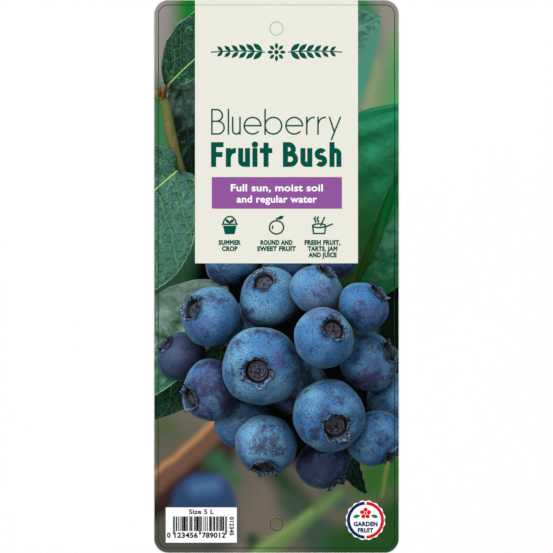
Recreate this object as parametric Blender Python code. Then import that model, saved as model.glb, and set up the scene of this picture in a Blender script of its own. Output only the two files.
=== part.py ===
"""A printed plastic plant label: one flat sheet with rounded corners and a round
push-out disc near each end, held in the sheet by its own cut line.

The label lies on its back. +Z is the printed side, +Y is the top of the label, and
the origin is the centre of the underside. Lengths are in metres.
"""

from math import radians

import bmesh
import bpy
from mathutils import Matrix

MM = 0.001

# The sheet. The label's border line is 100 mm x 230 mm, and the sheet runs past it.
BORDER_WIDTH = 100.0 * MM
BORDER_HEIGHT = 230.0 * MM
MARGIN_AT_SIDES = 1.75 * MM
MARGIN_AT_ENDS = 2.0 * MM
SHEET_WIDTH = BORDER_WIDTH + 2 * MARGIN_AT_SIDES
SHEET_HEIGHT = BORDER_HEIGHT + 2 * MARGIN_AT_ENDS
SHEET_THICKNESS = 0.5 * MM
CORNER_RADIUS = 6.0 * MM
CORNER_STEPS = 12

# The push-out discs, on the centre line, set in from each end of the border line.
HOLE_DIAMETER = 6.0 * MM
HOLE_FROM_BORDER = 10.0 * MM
CUT_WIDTH = 0.3 * MM
ROUND_STEPS = 64
HOLE_Y = BORDER_HEIGHT / 2 - HOLE_FROM_BORDER

# The punch that makes a hole stands out past both faces of the sheet.
PUNCH_HEIGHT = 4 * SHEET_THICKNESS
PUNCH_FOOT = (SHEET_THICKNESS - PUNCH_HEIGHT) / 2

PLASTIC_COLOUR = (0.83, 0.82, 0.75, 1.0)
PICTURE_COLOUR = (0.12, 0.19, 0.16, 1.0)
PLASTIC_ROUGHNESS = 0.35
SHARP_EDGE_ANGLE = radians(40)


def clear_scene():
    """Removes whatever the scene holds."""
    for obj in list(bpy.data.objects):
        bpy.data.objects.remove(obj)


def plastic(name, colour):
    """White plastic in the colour that is printed on it."""
    material = bpy.data.materials.new(name)
    material.use_nodes = True
    shader = material.node_tree.nodes["Principled BSDF"]
    shader.inputs["Base Color"].default_value = colour
    shader.inputs["Roughness"].default_value = PLASTIC_ROUGHNESS
    shader.inputs["Metallic"].default_value = 0.0
    return material


def add_object(name, bm, material=None):
    """Turns a bmesh into an object of the scene and returns it."""
    bmesh.ops.recalc_face_normals(bm, faces=bm.faces)
    mesh = bpy.data.meshes.new(name)
    bm.to_mesh(mesh)
    bm.free()
    if material:
        mesh.materials.append(material)
    obj = bpy.data.objects.new(name, mesh)
    bpy.context.scene.collection.objects.link(obj)
    return obj


def rounded_sheet():
    """The sheet as a solid: a rectangle with rounded corners, pulled up to its thickness."""
    bm = bmesh.new()
    x, y = SHEET_WIDTH / 2, SHEET_HEIGHT / 2
    corners = [bm.verts.new(place) for place in ((-x, -y, 0), (x, -y, 0), (x, y, 0), (-x, y, 0))]
    bm.faces.new(corners)
    bmesh.ops.bevel(
        bm,
        geom=corners,
        offset=CORNER_RADIUS,
        segments=CORNER_STEPS,
        profile=0.5,
        affect="VERTICES",
    )
    pulled = bmesh.ops.extrude_face_region(bm, geom=bm.faces[:])["geom"]
    top = [item for item in pulled if isinstance(item, bmesh.types.BMVert)]
    bmesh.ops.translate(bm, verts=top, vec=(0, 0, SHEET_THICKNESS))
    return bm


def round_plug(radius, height, z_low=0.0):
    """A disc of this radius that stands on z_low, centred on the Z axis."""
    bm = bmesh.new()
    bmesh.ops.create_cone(
        bm,
        cap_ends=True,
        segments=ROUND_STEPS,
        radius1=radius,
        radius2=radius,
        depth=height,
        matrix=Matrix.Translation((0, 0, z_low + height / 2)),
    )
    return bm


def add_cutter(name, y):
    """The punch that cuts a hole right through the sheet."""
    cutter = add_object(name, round_plug(HOLE_DIAMETER / 2, PUNCH_HEIGHT, PUNCH_FOOT))
    cutter.location.y = y
    cutter.hide_render = True
    cutter.display_type = "WIRE"
    return cutter


def add_sheet(material):
    """The sheet with its two holes."""
    sheet = add_object("sheet", rounded_sheet(), material)
    for end, y in (("top", HOLE_Y), ("bottom", -HOLE_Y)):
        cut = sheet.modifiers.new(f"{end}_hole", "BOOLEAN")
        cut.operation = "DIFFERENCE"
        cut.object = add_cutter(f"{end}_punch", y)
    return sheet


def add_disc(name, y, material):
    """A push-out disc, a cut's width smaller than its hole all round."""
    disc = add_object(name, round_plug(HOLE_DIAMETER / 2 - CUT_WIDTH, SHEET_THICKNESS), material)
    disc.location.y = y
    disc.data.shade_smooth()
    disc.data.set_sharp_from_angle(angle=SHARP_EDGE_ANGLE)
    return disc


def main():
    """Builds the label."""
    clear_scene()
    add_sheet(plastic("printed_sheet", PICTURE_COLOUR))
    add_disc("top_disc", HOLE_Y, plastic("panel_colour", PLASTIC_COLOUR))
    add_disc("bottom_disc", -HOLE_Y, plastic("picture_colour", PICTURE_COLOUR))


main()
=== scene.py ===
"""Looks for a printed plastic plant label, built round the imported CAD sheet.

The label lies on its back and is seen from straight above. Its picture is a still life of
blueberries. The berries, leaves and twigs are modelled in full depth, soft daylight is
worked out on them point by point, and then they are pressed flat into the print layer.
Meshes are built in millimetres and turned into metres when they are finished.
"""

import logging
import math
from collections.abc import Callable, Iterable, Sequence
from dataclasses import dataclass
from enum import Enum

import bmesh
import bpy
from mathutils import Matrix, Quaternion, Vector, noise
from mathutils.bvhtree import BVHTree


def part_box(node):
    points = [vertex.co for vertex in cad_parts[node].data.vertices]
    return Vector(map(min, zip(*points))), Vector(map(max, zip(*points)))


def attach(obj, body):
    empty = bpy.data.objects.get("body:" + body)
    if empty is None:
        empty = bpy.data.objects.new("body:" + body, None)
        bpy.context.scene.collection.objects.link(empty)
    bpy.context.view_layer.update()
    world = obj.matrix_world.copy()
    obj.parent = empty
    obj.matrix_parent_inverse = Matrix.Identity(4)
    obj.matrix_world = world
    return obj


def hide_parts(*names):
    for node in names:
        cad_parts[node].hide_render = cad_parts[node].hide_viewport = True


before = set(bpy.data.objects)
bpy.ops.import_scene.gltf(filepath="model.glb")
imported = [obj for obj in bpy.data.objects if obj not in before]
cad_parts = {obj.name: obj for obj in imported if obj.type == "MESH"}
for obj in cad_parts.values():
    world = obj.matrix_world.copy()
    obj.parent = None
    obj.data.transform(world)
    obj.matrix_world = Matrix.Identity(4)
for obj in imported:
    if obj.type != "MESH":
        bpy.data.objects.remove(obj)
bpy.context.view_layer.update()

MM = 0.001
BODY = "root"
GOLDEN_ANGLE = math.pi * (3 - math.sqrt(5))
MERGE_DISTANCE = 1e-4
CORNER_STEPS = 12
UP = Vector((0, 0, 1))
log = logging.getLogger("plant_label")

Colour = tuple[float, float, float, float]
Point = tuple[float, float]
Place = tuple[float, float, float]
Socket = bpy.types.NodeSocket
Mesh = bmesh.types.BMesh


class Slot(Enum):
    """Names of two material slots."""

    PICTURE = "picture_print"
    PANEL = "panel_print"


def ink(red: int, green: int, blue: int) -> Colour:
    """Turns a screen colour into the linear colour that a shader takes.

    Args:
        red: Red channel, 0 to 255.
        green: Green channel, 0 to 255.
        blue: Blue channel, 0 to 255.

    Returns:
        The linear colour with an alpha of 1.
    """

    def linear(channel: int) -> float:
        """Undoes the screen's gamma for one channel."""
        share = channel / 255
        return share / 12.92 if share <= 0.04045 else ((share + 0.055) / 1.055) ** 2.4

    return (linear(red), linear(green), linear(blue), 1.0)


@dataclass(frozen=True)
class Span:
    """A stretch of height, in mm over the label's back."""

    low: float
    high: float

    @property
    def middle(self) -> float:
        """Half way up."""
        return (self.low + self.high) / 2

    @property
    def depth(self) -> float:
        """How thick it is."""
        return self.high - self.low


class Layer(Enum):
    """The print layers from the back up, each between two shares of the sheet's thickness."""

    CORE = (0.0, 0.64)
    RELIEF = (0.645, 0.79)
    LINE = (0.80, 0.82)
    FILM = (0.64, 0.88)
    FIRST_PRINT = (0.88, 0.94)
    LAST_PRINT = (0.94, 1.0)


@dataclass(frozen=True)
class Sheet:
    """The CAD sheet's size in mm."""

    half_width: float
    half_height: float
    thickness: float
    corner: float = 6.0
    hole_radius: float = 3.0
    disc_radius: float = 2.94
    hole_y: float = 105.0
    border_half_width: float = 50.0
    border_half_height: float = 115.0
    border_corner: float = 4.0

    @classmethod
    def from_frame(cls) -> "Sheet":
        """Reads the sheet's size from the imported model."""
        _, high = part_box("sheet")
        return cls(high.x / MM, high.y / MM, high.z / MM)

    def span(self, layer: Layer) -> Span:
        """Gives a print layer's place in the thickness."""
        return Span(*(share * self.thickness for share in layer.value))


@dataclass(frozen=True)
class Value:
    """A node's output that takes part in arithmetic. Each step of it adds a Math node."""

    wires: "Wires"
    socket: Socket

    def __add__(self, other: object) -> "Value":
        """Gives the sum."""
        return self.wires.math("ADD", self, other)

    def __sub__(self, other: object) -> "Value":
        """Gives the difference."""
        return self.wires.math("SUBTRACT", self, other)

    def __rsub__(self, other: object) -> "Value":
        """Gives the difference, with a plain number first."""
        return self.wires.math("SUBTRACT", other, self)

    def __mul__(self, other: object) -> "Value":
        """Gives the product."""
        return self.wires.math("MULTIPLY", self, other)

    def __truediv__(self, other: object) -> "Value":
        """Gives the quotient."""
        return self.wires.math("DIVIDE", self, other)

    def __abs__(self) -> "Value":
        """Gives the value without its sign."""
        return self.wires.math("ABSOLUTE", self)


@dataclass(frozen=True)
class Wires:
    """Adds nodes to one node tree and joins them up."""

    tree: bpy.types.NodeTree

    def feed(self, node: bpy.types.Node, inputs: dict) -> None:
        """Gives a node's inputs their values.

        Args:
            node: The node.
            inputs: Plain values, or values from other nodes, by input name or number.
        """
        for key, value in inputs.items():
            if isinstance(value, Value):
                self.tree.links.new(value.socket, node.inputs[key])
            else:
                node.inputs[key].default_value = value

    def node(self, kind: str, inputs: dict | None = None, **settings: object) -> bpy.types.Node:
        """Adds one node.

        Args:
            kind: Blender's name for its type, after "ShaderNode".
            inputs: Its inputs' values.
            **settings: Properties set on the node itself.

        Returns:
            The new node.
        """
        made = self.tree.nodes.new(f"ShaderNode{kind}")
        for name, value in settings.items():
            setattr(made, name, value)
        self.feed(made, inputs or {})
        return made

    def value(self, output: int | str, kind: str, inputs: dict | None = None, **settings: object) -> Value:
        """Adds one node as above and gives the output of that name or number."""
        return Value(self, self.node(kind, inputs, **settings).outputs[output])

    def group(self, tree: bpy.types.NodeTree, inputs: dict, output: int | str = 0) -> Value:
        """Places a node group and gives one of its outputs."""
        return self.value(output, "Group", inputs, node_tree=tree)

    def math(self, operation: str, first: object, second: object = 0.0, clamp: bool = False) -> Value:
        """Adds a Math node."""
        return self.value(0, "Math", {0: first, 1: second}, operation=operation, use_clamp=clamp)

    def vector(self, operation: str, first: object, second: object = (0, 0, 0)) -> Value:
        """Adds a Vector Math node that gives a vector."""
        return self.value(0, "VectorMath", {0: first, 1: second}, operation=operation)

    def measure(self, operation: str, first: object, second: object = (0, 0, 0)) -> Value:
        """Adds a Vector Math node that gives a number, such as a length."""
        return self.value(1, "VectorMath", {0: first, 1: second}, operation=operation)

    def scaled(self, vector: object, factor: object) -> Value:
        """Multiplies a vector or a colour by one number."""
        return self.value(0, "VectorMath", {0: vector, "Scale": factor}, operation="SCALE")

    def stretched(self, vector: Value, scale: Place, turn: float = 0.0) -> Value:
        """Turns a pattern's coordinates about Z and stretches them."""
        return self.value(0, "Mapping", {"Vector": vector, "Rotation": (0, 0, turn), "Scale": scale})

    def blend(self, share: object, low: object, high: object, mode: str = "MIX") -> Value:
        """Mixes two colours by a share."""
        return self.value(2, "Mix", {0: share, 6: low, 7: high}, data_type="RGBA", blend_type=mode)

    def ease(self, value: Value, low: object, high: object) -> Value:
        """Goes smoothly from 0 at low to 1 at high, where low may be the larger of the two."""
        return self.value(0, "MapRange", {0: value, 1: low, 2: high}, interpolation_type="SMOOTHSTEP")

    def noise(self, place: Value, scale: float, detail: float = 2.0, roughness: float = 0.5) -> Value:
        """Adds soft noise, with about that many waves to a millimetre."""
        inputs = {"Vector": place, "Scale": scale, "Detail": detail, "Roughness": roughness}
        return self.value(0, "TexNoise", inputs)

    def noise_vector(self, place: Value, scale: float) -> Value:
        """Gives noise in three channels, to bend a pattern with."""
        return self.value(1, "TexNoise", {"Vector": place, "Scale": scale})

    def bent(self, place: Value, scale: float, reach: float) -> Value:
        """Bends a pattern's coordinates with noise that moves them up to a reach."""
        return self.vector("ADD", place, self.scaled(self.noise_vector(place, scale), reach))

    def cell_walls(self, place: Value, scale: float) -> Value:
        """Gives the distance to the nearest wall of a net of cells."""
        inputs = {"Vector": place, "Scale": scale}
        return self.value("Distance", "TexVoronoi", inputs, feature="DISTANCE_TO_EDGE")

    def parts(self, vector: object) -> list[Value]:
        """Splits a vector or a colour into its three numbers."""
        return [Value(self, output) for output in self.node("SeparateXYZ", {0: vector}).outputs]

    def attribute(self, name: str, output: str = "Vector") -> Value:
        """Reads an attribute that the mesh carries."""
        return self.value(output, "Attribute", attribute_name=name)

    def ramp(self, value: Value, stops: Sequence[tuple[float, Colour]]) -> Value:
        """Adds a colour ramp.

        Args:
            value: What picks the colour.
            stops: The share and the colour of each stop.

        Returns:
            The colour.
        """
        made = self.node("ValToRGB", {0: value})
        band = made.color_ramp
        while len(band.elements) < len(stops):
            band.elements.new(0.5)
        for element, (share, colour) in zip(band.elements, stops):
            element.position = share
            element.color = colour
        return Value(self, made.outputs[0])

    def place(self) -> Value:
        """Gives the place on the object in millimetres."""
        return self.scaled(self.value("Object", "TexCoord"), 1 / MM)


class Kind(Enum):
    """The kinds of socket that the node groups have."""

    NUMBER = "NodeSocketFloat"
    VECTOR = "NodeSocketVector"
    COLOUR = "NodeSocketColor"


Given = dict[str, Value]
Inside = Callable[[Wires, Given], Given]


def shader_group(
    name: str, inputs: dict[str, Kind], outputs: dict[str, Kind], inside: Inside
) -> bpy.types.NodeTree:
    """Makes one shader node group, or gives the one that was made before.

    Args:
        name: The group's name.
        inputs: Names and kinds of its inputs.
        outputs: Names and kinds of its outputs.
        inside: Builds the nodes from the group's inputs and gives a value for each output.

    Returns:
        The node group.
    """
    made = bpy.data.node_groups.get(name)
    if made is not None:
        return made
    made = bpy.data.node_groups.new(name, "ShaderNodeTree")
    for side, sockets in (("INPUT", inputs), ("OUTPUT", outputs)):
        for label, kind in sockets.items():
            made.interface.new_socket(name=label, in_out=side, socket_type=kind.value)
    wires = Wires(made)
    entry = made.nodes.new("NodeGroupInput")
    results = inside(wires, {label: Value(wires, entry.outputs[label]) for label in inputs})
    wires.feed(made.nodes.new("NodeGroupOutput"), results)
    return made


def soft_shape_group() -> bpy.types.NodeTree:
    """A blurred leaf, branch or disc: a line with a width, a belly in its middle and a soft edge.

    Returns:
        The node group.
    """

    def inside(wires: Wires, given: Given) -> Given:
        """Compares the distance to the line with the width there.

        Args:
            wires: The node helper.
            given: The group's inputs.

        Returns:
            Its outputs.
        """
        axis = wires.vector("SUBTRACT", given["End"], given["Start"])
        offset = wires.vector("SUBTRACT", given["Place"], given["Start"])
        length_squared = wires.math("MAXIMUM", wires.measure("DOT_PRODUCT", axis, axis), 0.01)
        reach = wires.measure("DOT_PRODUCT", offset, axis)
        along = wires.math("DIVIDE", reach, length_squared, clamp=True)
        distance = wires.measure("DISTANCE", offset, wires.scaled(axis, along))
        rest = 1.0 - along
        ends = given["Start Radius"] * rest + given["End Radius"] * along
        radius = ends + along * rest * 4.0 * given["Belly"]
        return {"Mask": wires.ease(distance, radius + given["Softness"], radius - given["Softness"])}

    inputs = {label: Kind.VECTOR for label in ("Place", "Start", "End")}
    inputs |= {label: Kind.NUMBER for label in ("Start Radius", "End Radius", "Belly", "Softness")}
    return shader_group("Soft Shape", inputs, {"Mask": Kind.NUMBER}, inside)


def print_grain_group() -> bpy.types.NodeTree:
    """The unevenness of printed colour: fine grain and a slow drift in strength.

    Returns:
        The node group.
    """

    def inside(wires: Wires, given: Given) -> Given:
        """Multiplies the colour by two noises.

        Args:
            wires: The node helper.
            given: The group's inputs.

        Returns:
            Its outputs.
        """
        fine = wires.noise(given["Place"], scale=2.2, detail=3.0, roughness=0.7) * 1.3
        slow = wires.noise(given["Place"], scale=0.04) * 0.7
        factor = (fine + slow - 1.0) * given["Strength"] + 1.0
        return {"Color": wires.scaled(given["Color"], factor)}

    inputs = {"Color": Kind.COLOUR, "Place": Kind.VECTOR, "Strength": Kind.NUMBER}
    return shader_group("Print Grain", inputs, {"Color": Kind.COLOUR}, inside)


def varnish_group() -> bpy.types.NodeTree:
    """Clear varnish on plastic: slow ripples, smudges and fine scratches from handling.

    Returns:
        The node group.
    """

    def inside(wires: Wires, given: Given) -> Given:
        """Adds up the roughness and the height of the three effects.

        Args:
            wires: The node helper.
            given: The group's inputs.

        Returns:
            Its outputs.
        """
        place = given["Place"]
        smudge = wires.noise(place, scale=0.03, detail=3.0) - 0.5
        strokes = wires.noise(wires.stretched(place, (0.05, 2.4, 1.0), turn=0.7), scale=1.0)
        scratch = wires.ease(strokes, 0.66, 0.74) * given["Scuffs"]
        roughness = given["Roughness"] + (smudge * 0.16 + scratch * 0.14)
        ripple = wires.noise(place, scale=0.11, detail=1.0)
        pimple = wires.noise(place, scale=2.6)
        return {"Roughness": roughness, "Height": ripple + pimple * 0.10 - scratch * 0.12}

    inputs = {"Place": Kind.VECTOR, "Roughness": Kind.NUMBER, "Scuffs": Kind.NUMBER}
    return shader_group("Varnish", inputs, {"Roughness": Kind.NUMBER, "Height": Kind.NUMBER}, inside)


def painted_light_group() -> bpy.types.NodeTree:
    """Daylight that was painted on a motif: red is its light, green its shine, blue how it faces us.

    Returns:
        The node group.
    """

    def inside(wires: Wires, given: Given) -> Given:
        """Shades the ink and adds the sheen.

        Args:
            wires: The node helper.
            given: The group's inputs.

        Returns:
            Its outputs.
        """
        channels = wires.parts(given["Painted Light"])
        turned = wires.ease(channels[2], 0.0, 0.45) * 0.25
        light = wires.math("POWER", channels[0], given["Contrast"]) * (turned + 0.75)
        shaded = wires.blend(1.0, wires.scaled(given["Ink"], light), given["Exposure"], "MULTIPLY")
        return {"Color": wires.blend(1.0, shaded, wires.scaled(given["Sheen"], channels[1]), "ADD")}

    inputs = {label: Kind.COLOUR for label in ("Ink", "Painted Light", "Exposure", "Sheen")}
    inputs["Contrast"] = Kind.NUMBER
    return shader_group("Painted Light", inputs, {"Color": Kind.COLOUR}, inside)


@dataclass(frozen=True)
class Finish:
    """A printed surface under clear varnish."""

    name: str
    roughness: float = 0.26
    reflection: float = 0.09
    scuffs: float = 0.5
    ripple: float = 0.25
    ripple_height: float = 0.05
    opacity: float = 1.0

    def paint(self, wires: Wires) -> Value:
        """Builds the nodes of the printed colour."""
        raise NotImplementedError

    def material(self) -> bpy.types.Material:
        """Makes the material once and gives it again after that.

        Returns:
            The material.
        """
        made = bpy.data.materials.get(self.name)
        if made is not None:
            return made
        made = bpy.data.materials.new(self.name)
        made.use_nodes = True
        wires = Wires(made.node_tree)
        shader = made.node_tree.nodes["Principled BSDF"]
        given = {"Place": wires.place(), "Roughness": self.roughness, "Scuffs": self.scuffs}
        varnish = wires.node("Group", given, node_tree=varnish_group()).outputs
        height = Value(wires, varnish["Height"])
        bump = {"Strength": self.ripple, "Distance": self.ripple_height * MM, "Height": height}
        look = {"Base Color": self.paint(wires), "Roughness": Value(wires, varnish["Roughness"])}
        look |= {"Normal": wires.value(0, "Bump", bump), "Alpha": self.opacity}
        wires.feed(shader, look | {"Specular IOR Level": self.reflection})
        return made


@dataclass(frozen=True)
class FlatInk(Finish):
    """One flat printed colour with print grain."""

    colour: Colour = (1.0, 1.0, 1.0, 1.0)
    grain: float = 0.10

    def paint(self, wires: Wires) -> Value:
        """Gives the colour its grain."""
        given = {"Color": self.colour, "Place": wires.place(), "Strength": self.grain}
        return wires.group(print_grain_group(), given)


@dataclass(frozen=True)
class SoftPatch:
    """One out-of-focus shape of the backdrop, in mm on the label."""

    colour: Colour
    start: Point
    end: Point
    radii: Point
    softness: float
    belly: float = 0.0

    def lay(self, wires: Wires, spot: Value, under: Value) -> Value:
        """Lays the patch over a colour.

        Args:
            wires: The node helper.
            spot: The place on the label, in mm.
            under: The colour so far.

        Returns:
            The colour with the patch on it.
        """
        given = {"Place": spot, "Start": (*self.start, 0.0), "End": (*self.end, 0.0)}
        given |= {"Start Radius": self.radii[0], "End Radius": self.radii[1]}
        given |= {"Belly": self.belly, "Softness": self.softness}
        return wires.blend(wires.group(soft_shape_group(), given), under, self.colour)


BACKDROP_BASE = (
    (0.00, ink(96, 92, 76)),
    (0.12, ink(104, 94, 84)),
    (0.28, ink(84, 90, 72)),
    (0.50, ink(32, 70, 44)),
    (0.75, ink(52, 100, 72)),
    (1.00, ink(134, 130, 124)),
)

BACKDROP_PATCHES = (
    # Top left: pale sky, then greens behind the stem.
    SoftPatch(ink(150, 142, 138), (-52, 112), (-52, 90), (8, 6), 7),
    SoftPatch(ink(22, 118, 40), (-36, 124), (-38, 102), (6, 5), 5),
    SoftPatch(ink(58, 118, 78), (-52, 72), (-47, 46), (6, 6), 6),
    SoftPatch(ink(12, 30, 22), (-34, 70), (-33, 40), (3, 8), 4),
    SoftPatch(ink(112, 140, 128), (-44, 84), (-43, 60), (2.5, 1.5), 2.5),
    # Top right: pale sky, green light and a blurred leaf.
    SoftPatch(ink(146, 138, 128), (52, 114), (51, 98), (7, 5), 6),
    SoftPatch(ink(80, 158, 92), (55, 100), (52, 68), (5, 9), 8),
    SoftPatch(ink(132, 150, 112), (43, 90), (39, 72), (3, 4), 5),
    SoftPatch(ink(74, 140, 116), (36, 106), (33, 70), (8.5, 1), 1.4, belly=1),
    SoftPatch(ink(56, 122, 66), (34, 118), (40, 112), (4, 2), 4),
    # Painted shade in the dark gaps behind the fruit.
    SoftPatch(ink(1, 3, 3), (-8, -4), (20, -54), (28, 28), 4),
    SoftPatch(ink(1, 1, 2), (58, -16), (38, -6), (12, 6), 1.6),
    SoftPatch(ink(16, 44, 20), (54, -34), (52, -62), (7, 6), 4),
    SoftPatch(ink(6, 16, 9), (51, -18), (50, -34), (9, 8), 2.5),
    # Lower left: grey-brown ground, a branch with a painted highlight along its top, and its painted shadow.
    SoftPatch(ink(108, 100, 90), (-50, -60), (-34, -56), (8, 8), 6),
    SoftPatch(ink(84, 80, 74), (-52, -112), (-28, -116), (10, 8), 7),
    SoftPatch(ink(14, 14, 16), (-54, -98), (-24, -76), (6, 6), 4),
    SoftPatch(ink(56, 36, 34), (-58, -98), (-16, -65), (6.0, 5.0), 3.0),
    SoftPatch(ink(112, 80, 64), (-58, -93), (-17, -59), (4.6, 3.6), 2.6),
    SoftPatch(ink(186, 134, 90), (-54, -86), (-18, -53.5), (0.8, 1.2), 1.9),
    SoftPatch(ink(76, 92, 58), (-54, -66), (-46, -64), (3, 4), 6),
    # Under the fruit: green light, warm ground, dark leaves and a pale stem.
    SoftPatch(ink(54, 98, 66), (-26, -78), (-18, -86), (4, 3), 5),
    SoftPatch(ink(112, 102, 90), (-2, -92), (-10, -112), (7, 12), 7),
    SoftPatch(ink(36, 62, 42), (-2, -80), (12, -98), (5, 4), 5),
    SoftPatch(ink(44, 70, 46), (-10, -112), (-6, -120), (3, 4), 3),
    SoftPatch(ink(56, 78, 62), (6, -96), (22, -114), (5, 9), 5),
    SoftPatch(ink(58, 86, 70), (24, -92), (28, -96), (4, 3), 5),
    SoftPatch(ink(36, 76, 34), (58, -102), (32, -116), (13, 11), 6),
    SoftPatch(ink(48, 96, 40), (54, -78), (38, -88), (11, 7), 6),
    SoftPatch(ink(96, 130, 72), (-10, -121), (26, -92), (3.8, 1.6), 3.2),
    SoftPatch(ink(128, 150, 92), (-9, -118), (14, -100), (1.0, 0.6), 2.6),
    SoftPatch(ink(120, 126, 62), (52, -60), (44, -93), (1.0, 0.2), 1.6),
    # One berry far out of focus, with a painted highlight near its top and painted shade low down.
    SoftPatch(ink(44, 68, 106), (-30.5, -96.5), (-30, -98), (13.5, 13.5), 2.2),
    SoftPatch(ink(78, 120, 162), (-34, -90), (-27, -88.5), (2.0, 2.0), 5.0),
    SoftPatch(ink(32, 40, 70), (-27, -108), (-22, -108), (5, 5), 6.0),
)


@dataclass(frozen=True)
class BackdropPrint(Finish):
    """The blurred background, printed on the sheet's top. Its sides and back are bare plastic."""

    patches: Sequence[SoftPatch] = BACKDROP_PATCHES
    plastic: Colour = ink(232, 232, 226)
    half_height: float = 117.0
    grain: float = 0.16
    waves: float = 0.05
    wave_reach: float = 3.5

    def paint(self, wires: Wires) -> Value:
        """Lays the patches over a vertical gradient, back to front.

        Args:
            wires: The node helper.

        Returns:
            The printed colour.
        """
        place = wires.place()
        flat = wires.vector("MULTIPLY", place, (1, 1, 0))
        moved = wires.vector("SUBTRACT", wires.noise_vector(flat, self.waves), (0.5, 0.5, 0.5))
        pull = wires.vector("MULTIPLY", moved, (self.wave_reach, self.wave_reach, 0))
        spot = wires.vector("ADD", flat, pull)
        rise = wires.parts(spot)[1] / (2 * self.half_height) + 0.5
        colour = wires.ramp(rise, BACKDROP_BASE)
        for patch in self.patches:
            colour = patch.lay(wires, spot, colour)
        given = {"Color": colour, "Place": place, "Strength": self.grain}
        printed = wires.group(print_grain_group(), given)
        facing = wires.parts(wires.value("Normal", "TexCoord"))[2]
        return wires.blend(wires.ease(facing, 0.5, 0.7), self.plastic, printed)


@dataclass(frozen=True)
class MotifPrint(Finish):
    """A motif of the still life: an ink shaded with the daylight that was painted on it."""

    sheen: Colour = (0.08, 0.135, 0.125, 1.0)
    exposure: Colour = (1.0, 1.0, 1.0, 1.0)
    contrast: float = 1.1

    def surface(self, wires: Wires) -> tuple[Value, Value | Colour]:
        """Builds the motif's own colour and its sheen."""
        raise NotImplementedError

    def paint(self, wires: Wires) -> Value:
        """Shades the motif's own colour with the painted light.

        Args:
            wires: The node helper.

        Returns:
            The printed colour.
        """
        colour, sheen = self.surface(wires)
        given = {"Ink": colour, "Painted Light": wires.attribute("painted_light", "Color")}
        given |= {"Exposure": self.exposure, "Contrast": self.contrast, "Sheen": sheen}
        return wires.group(painted_light_group(), given)


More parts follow.
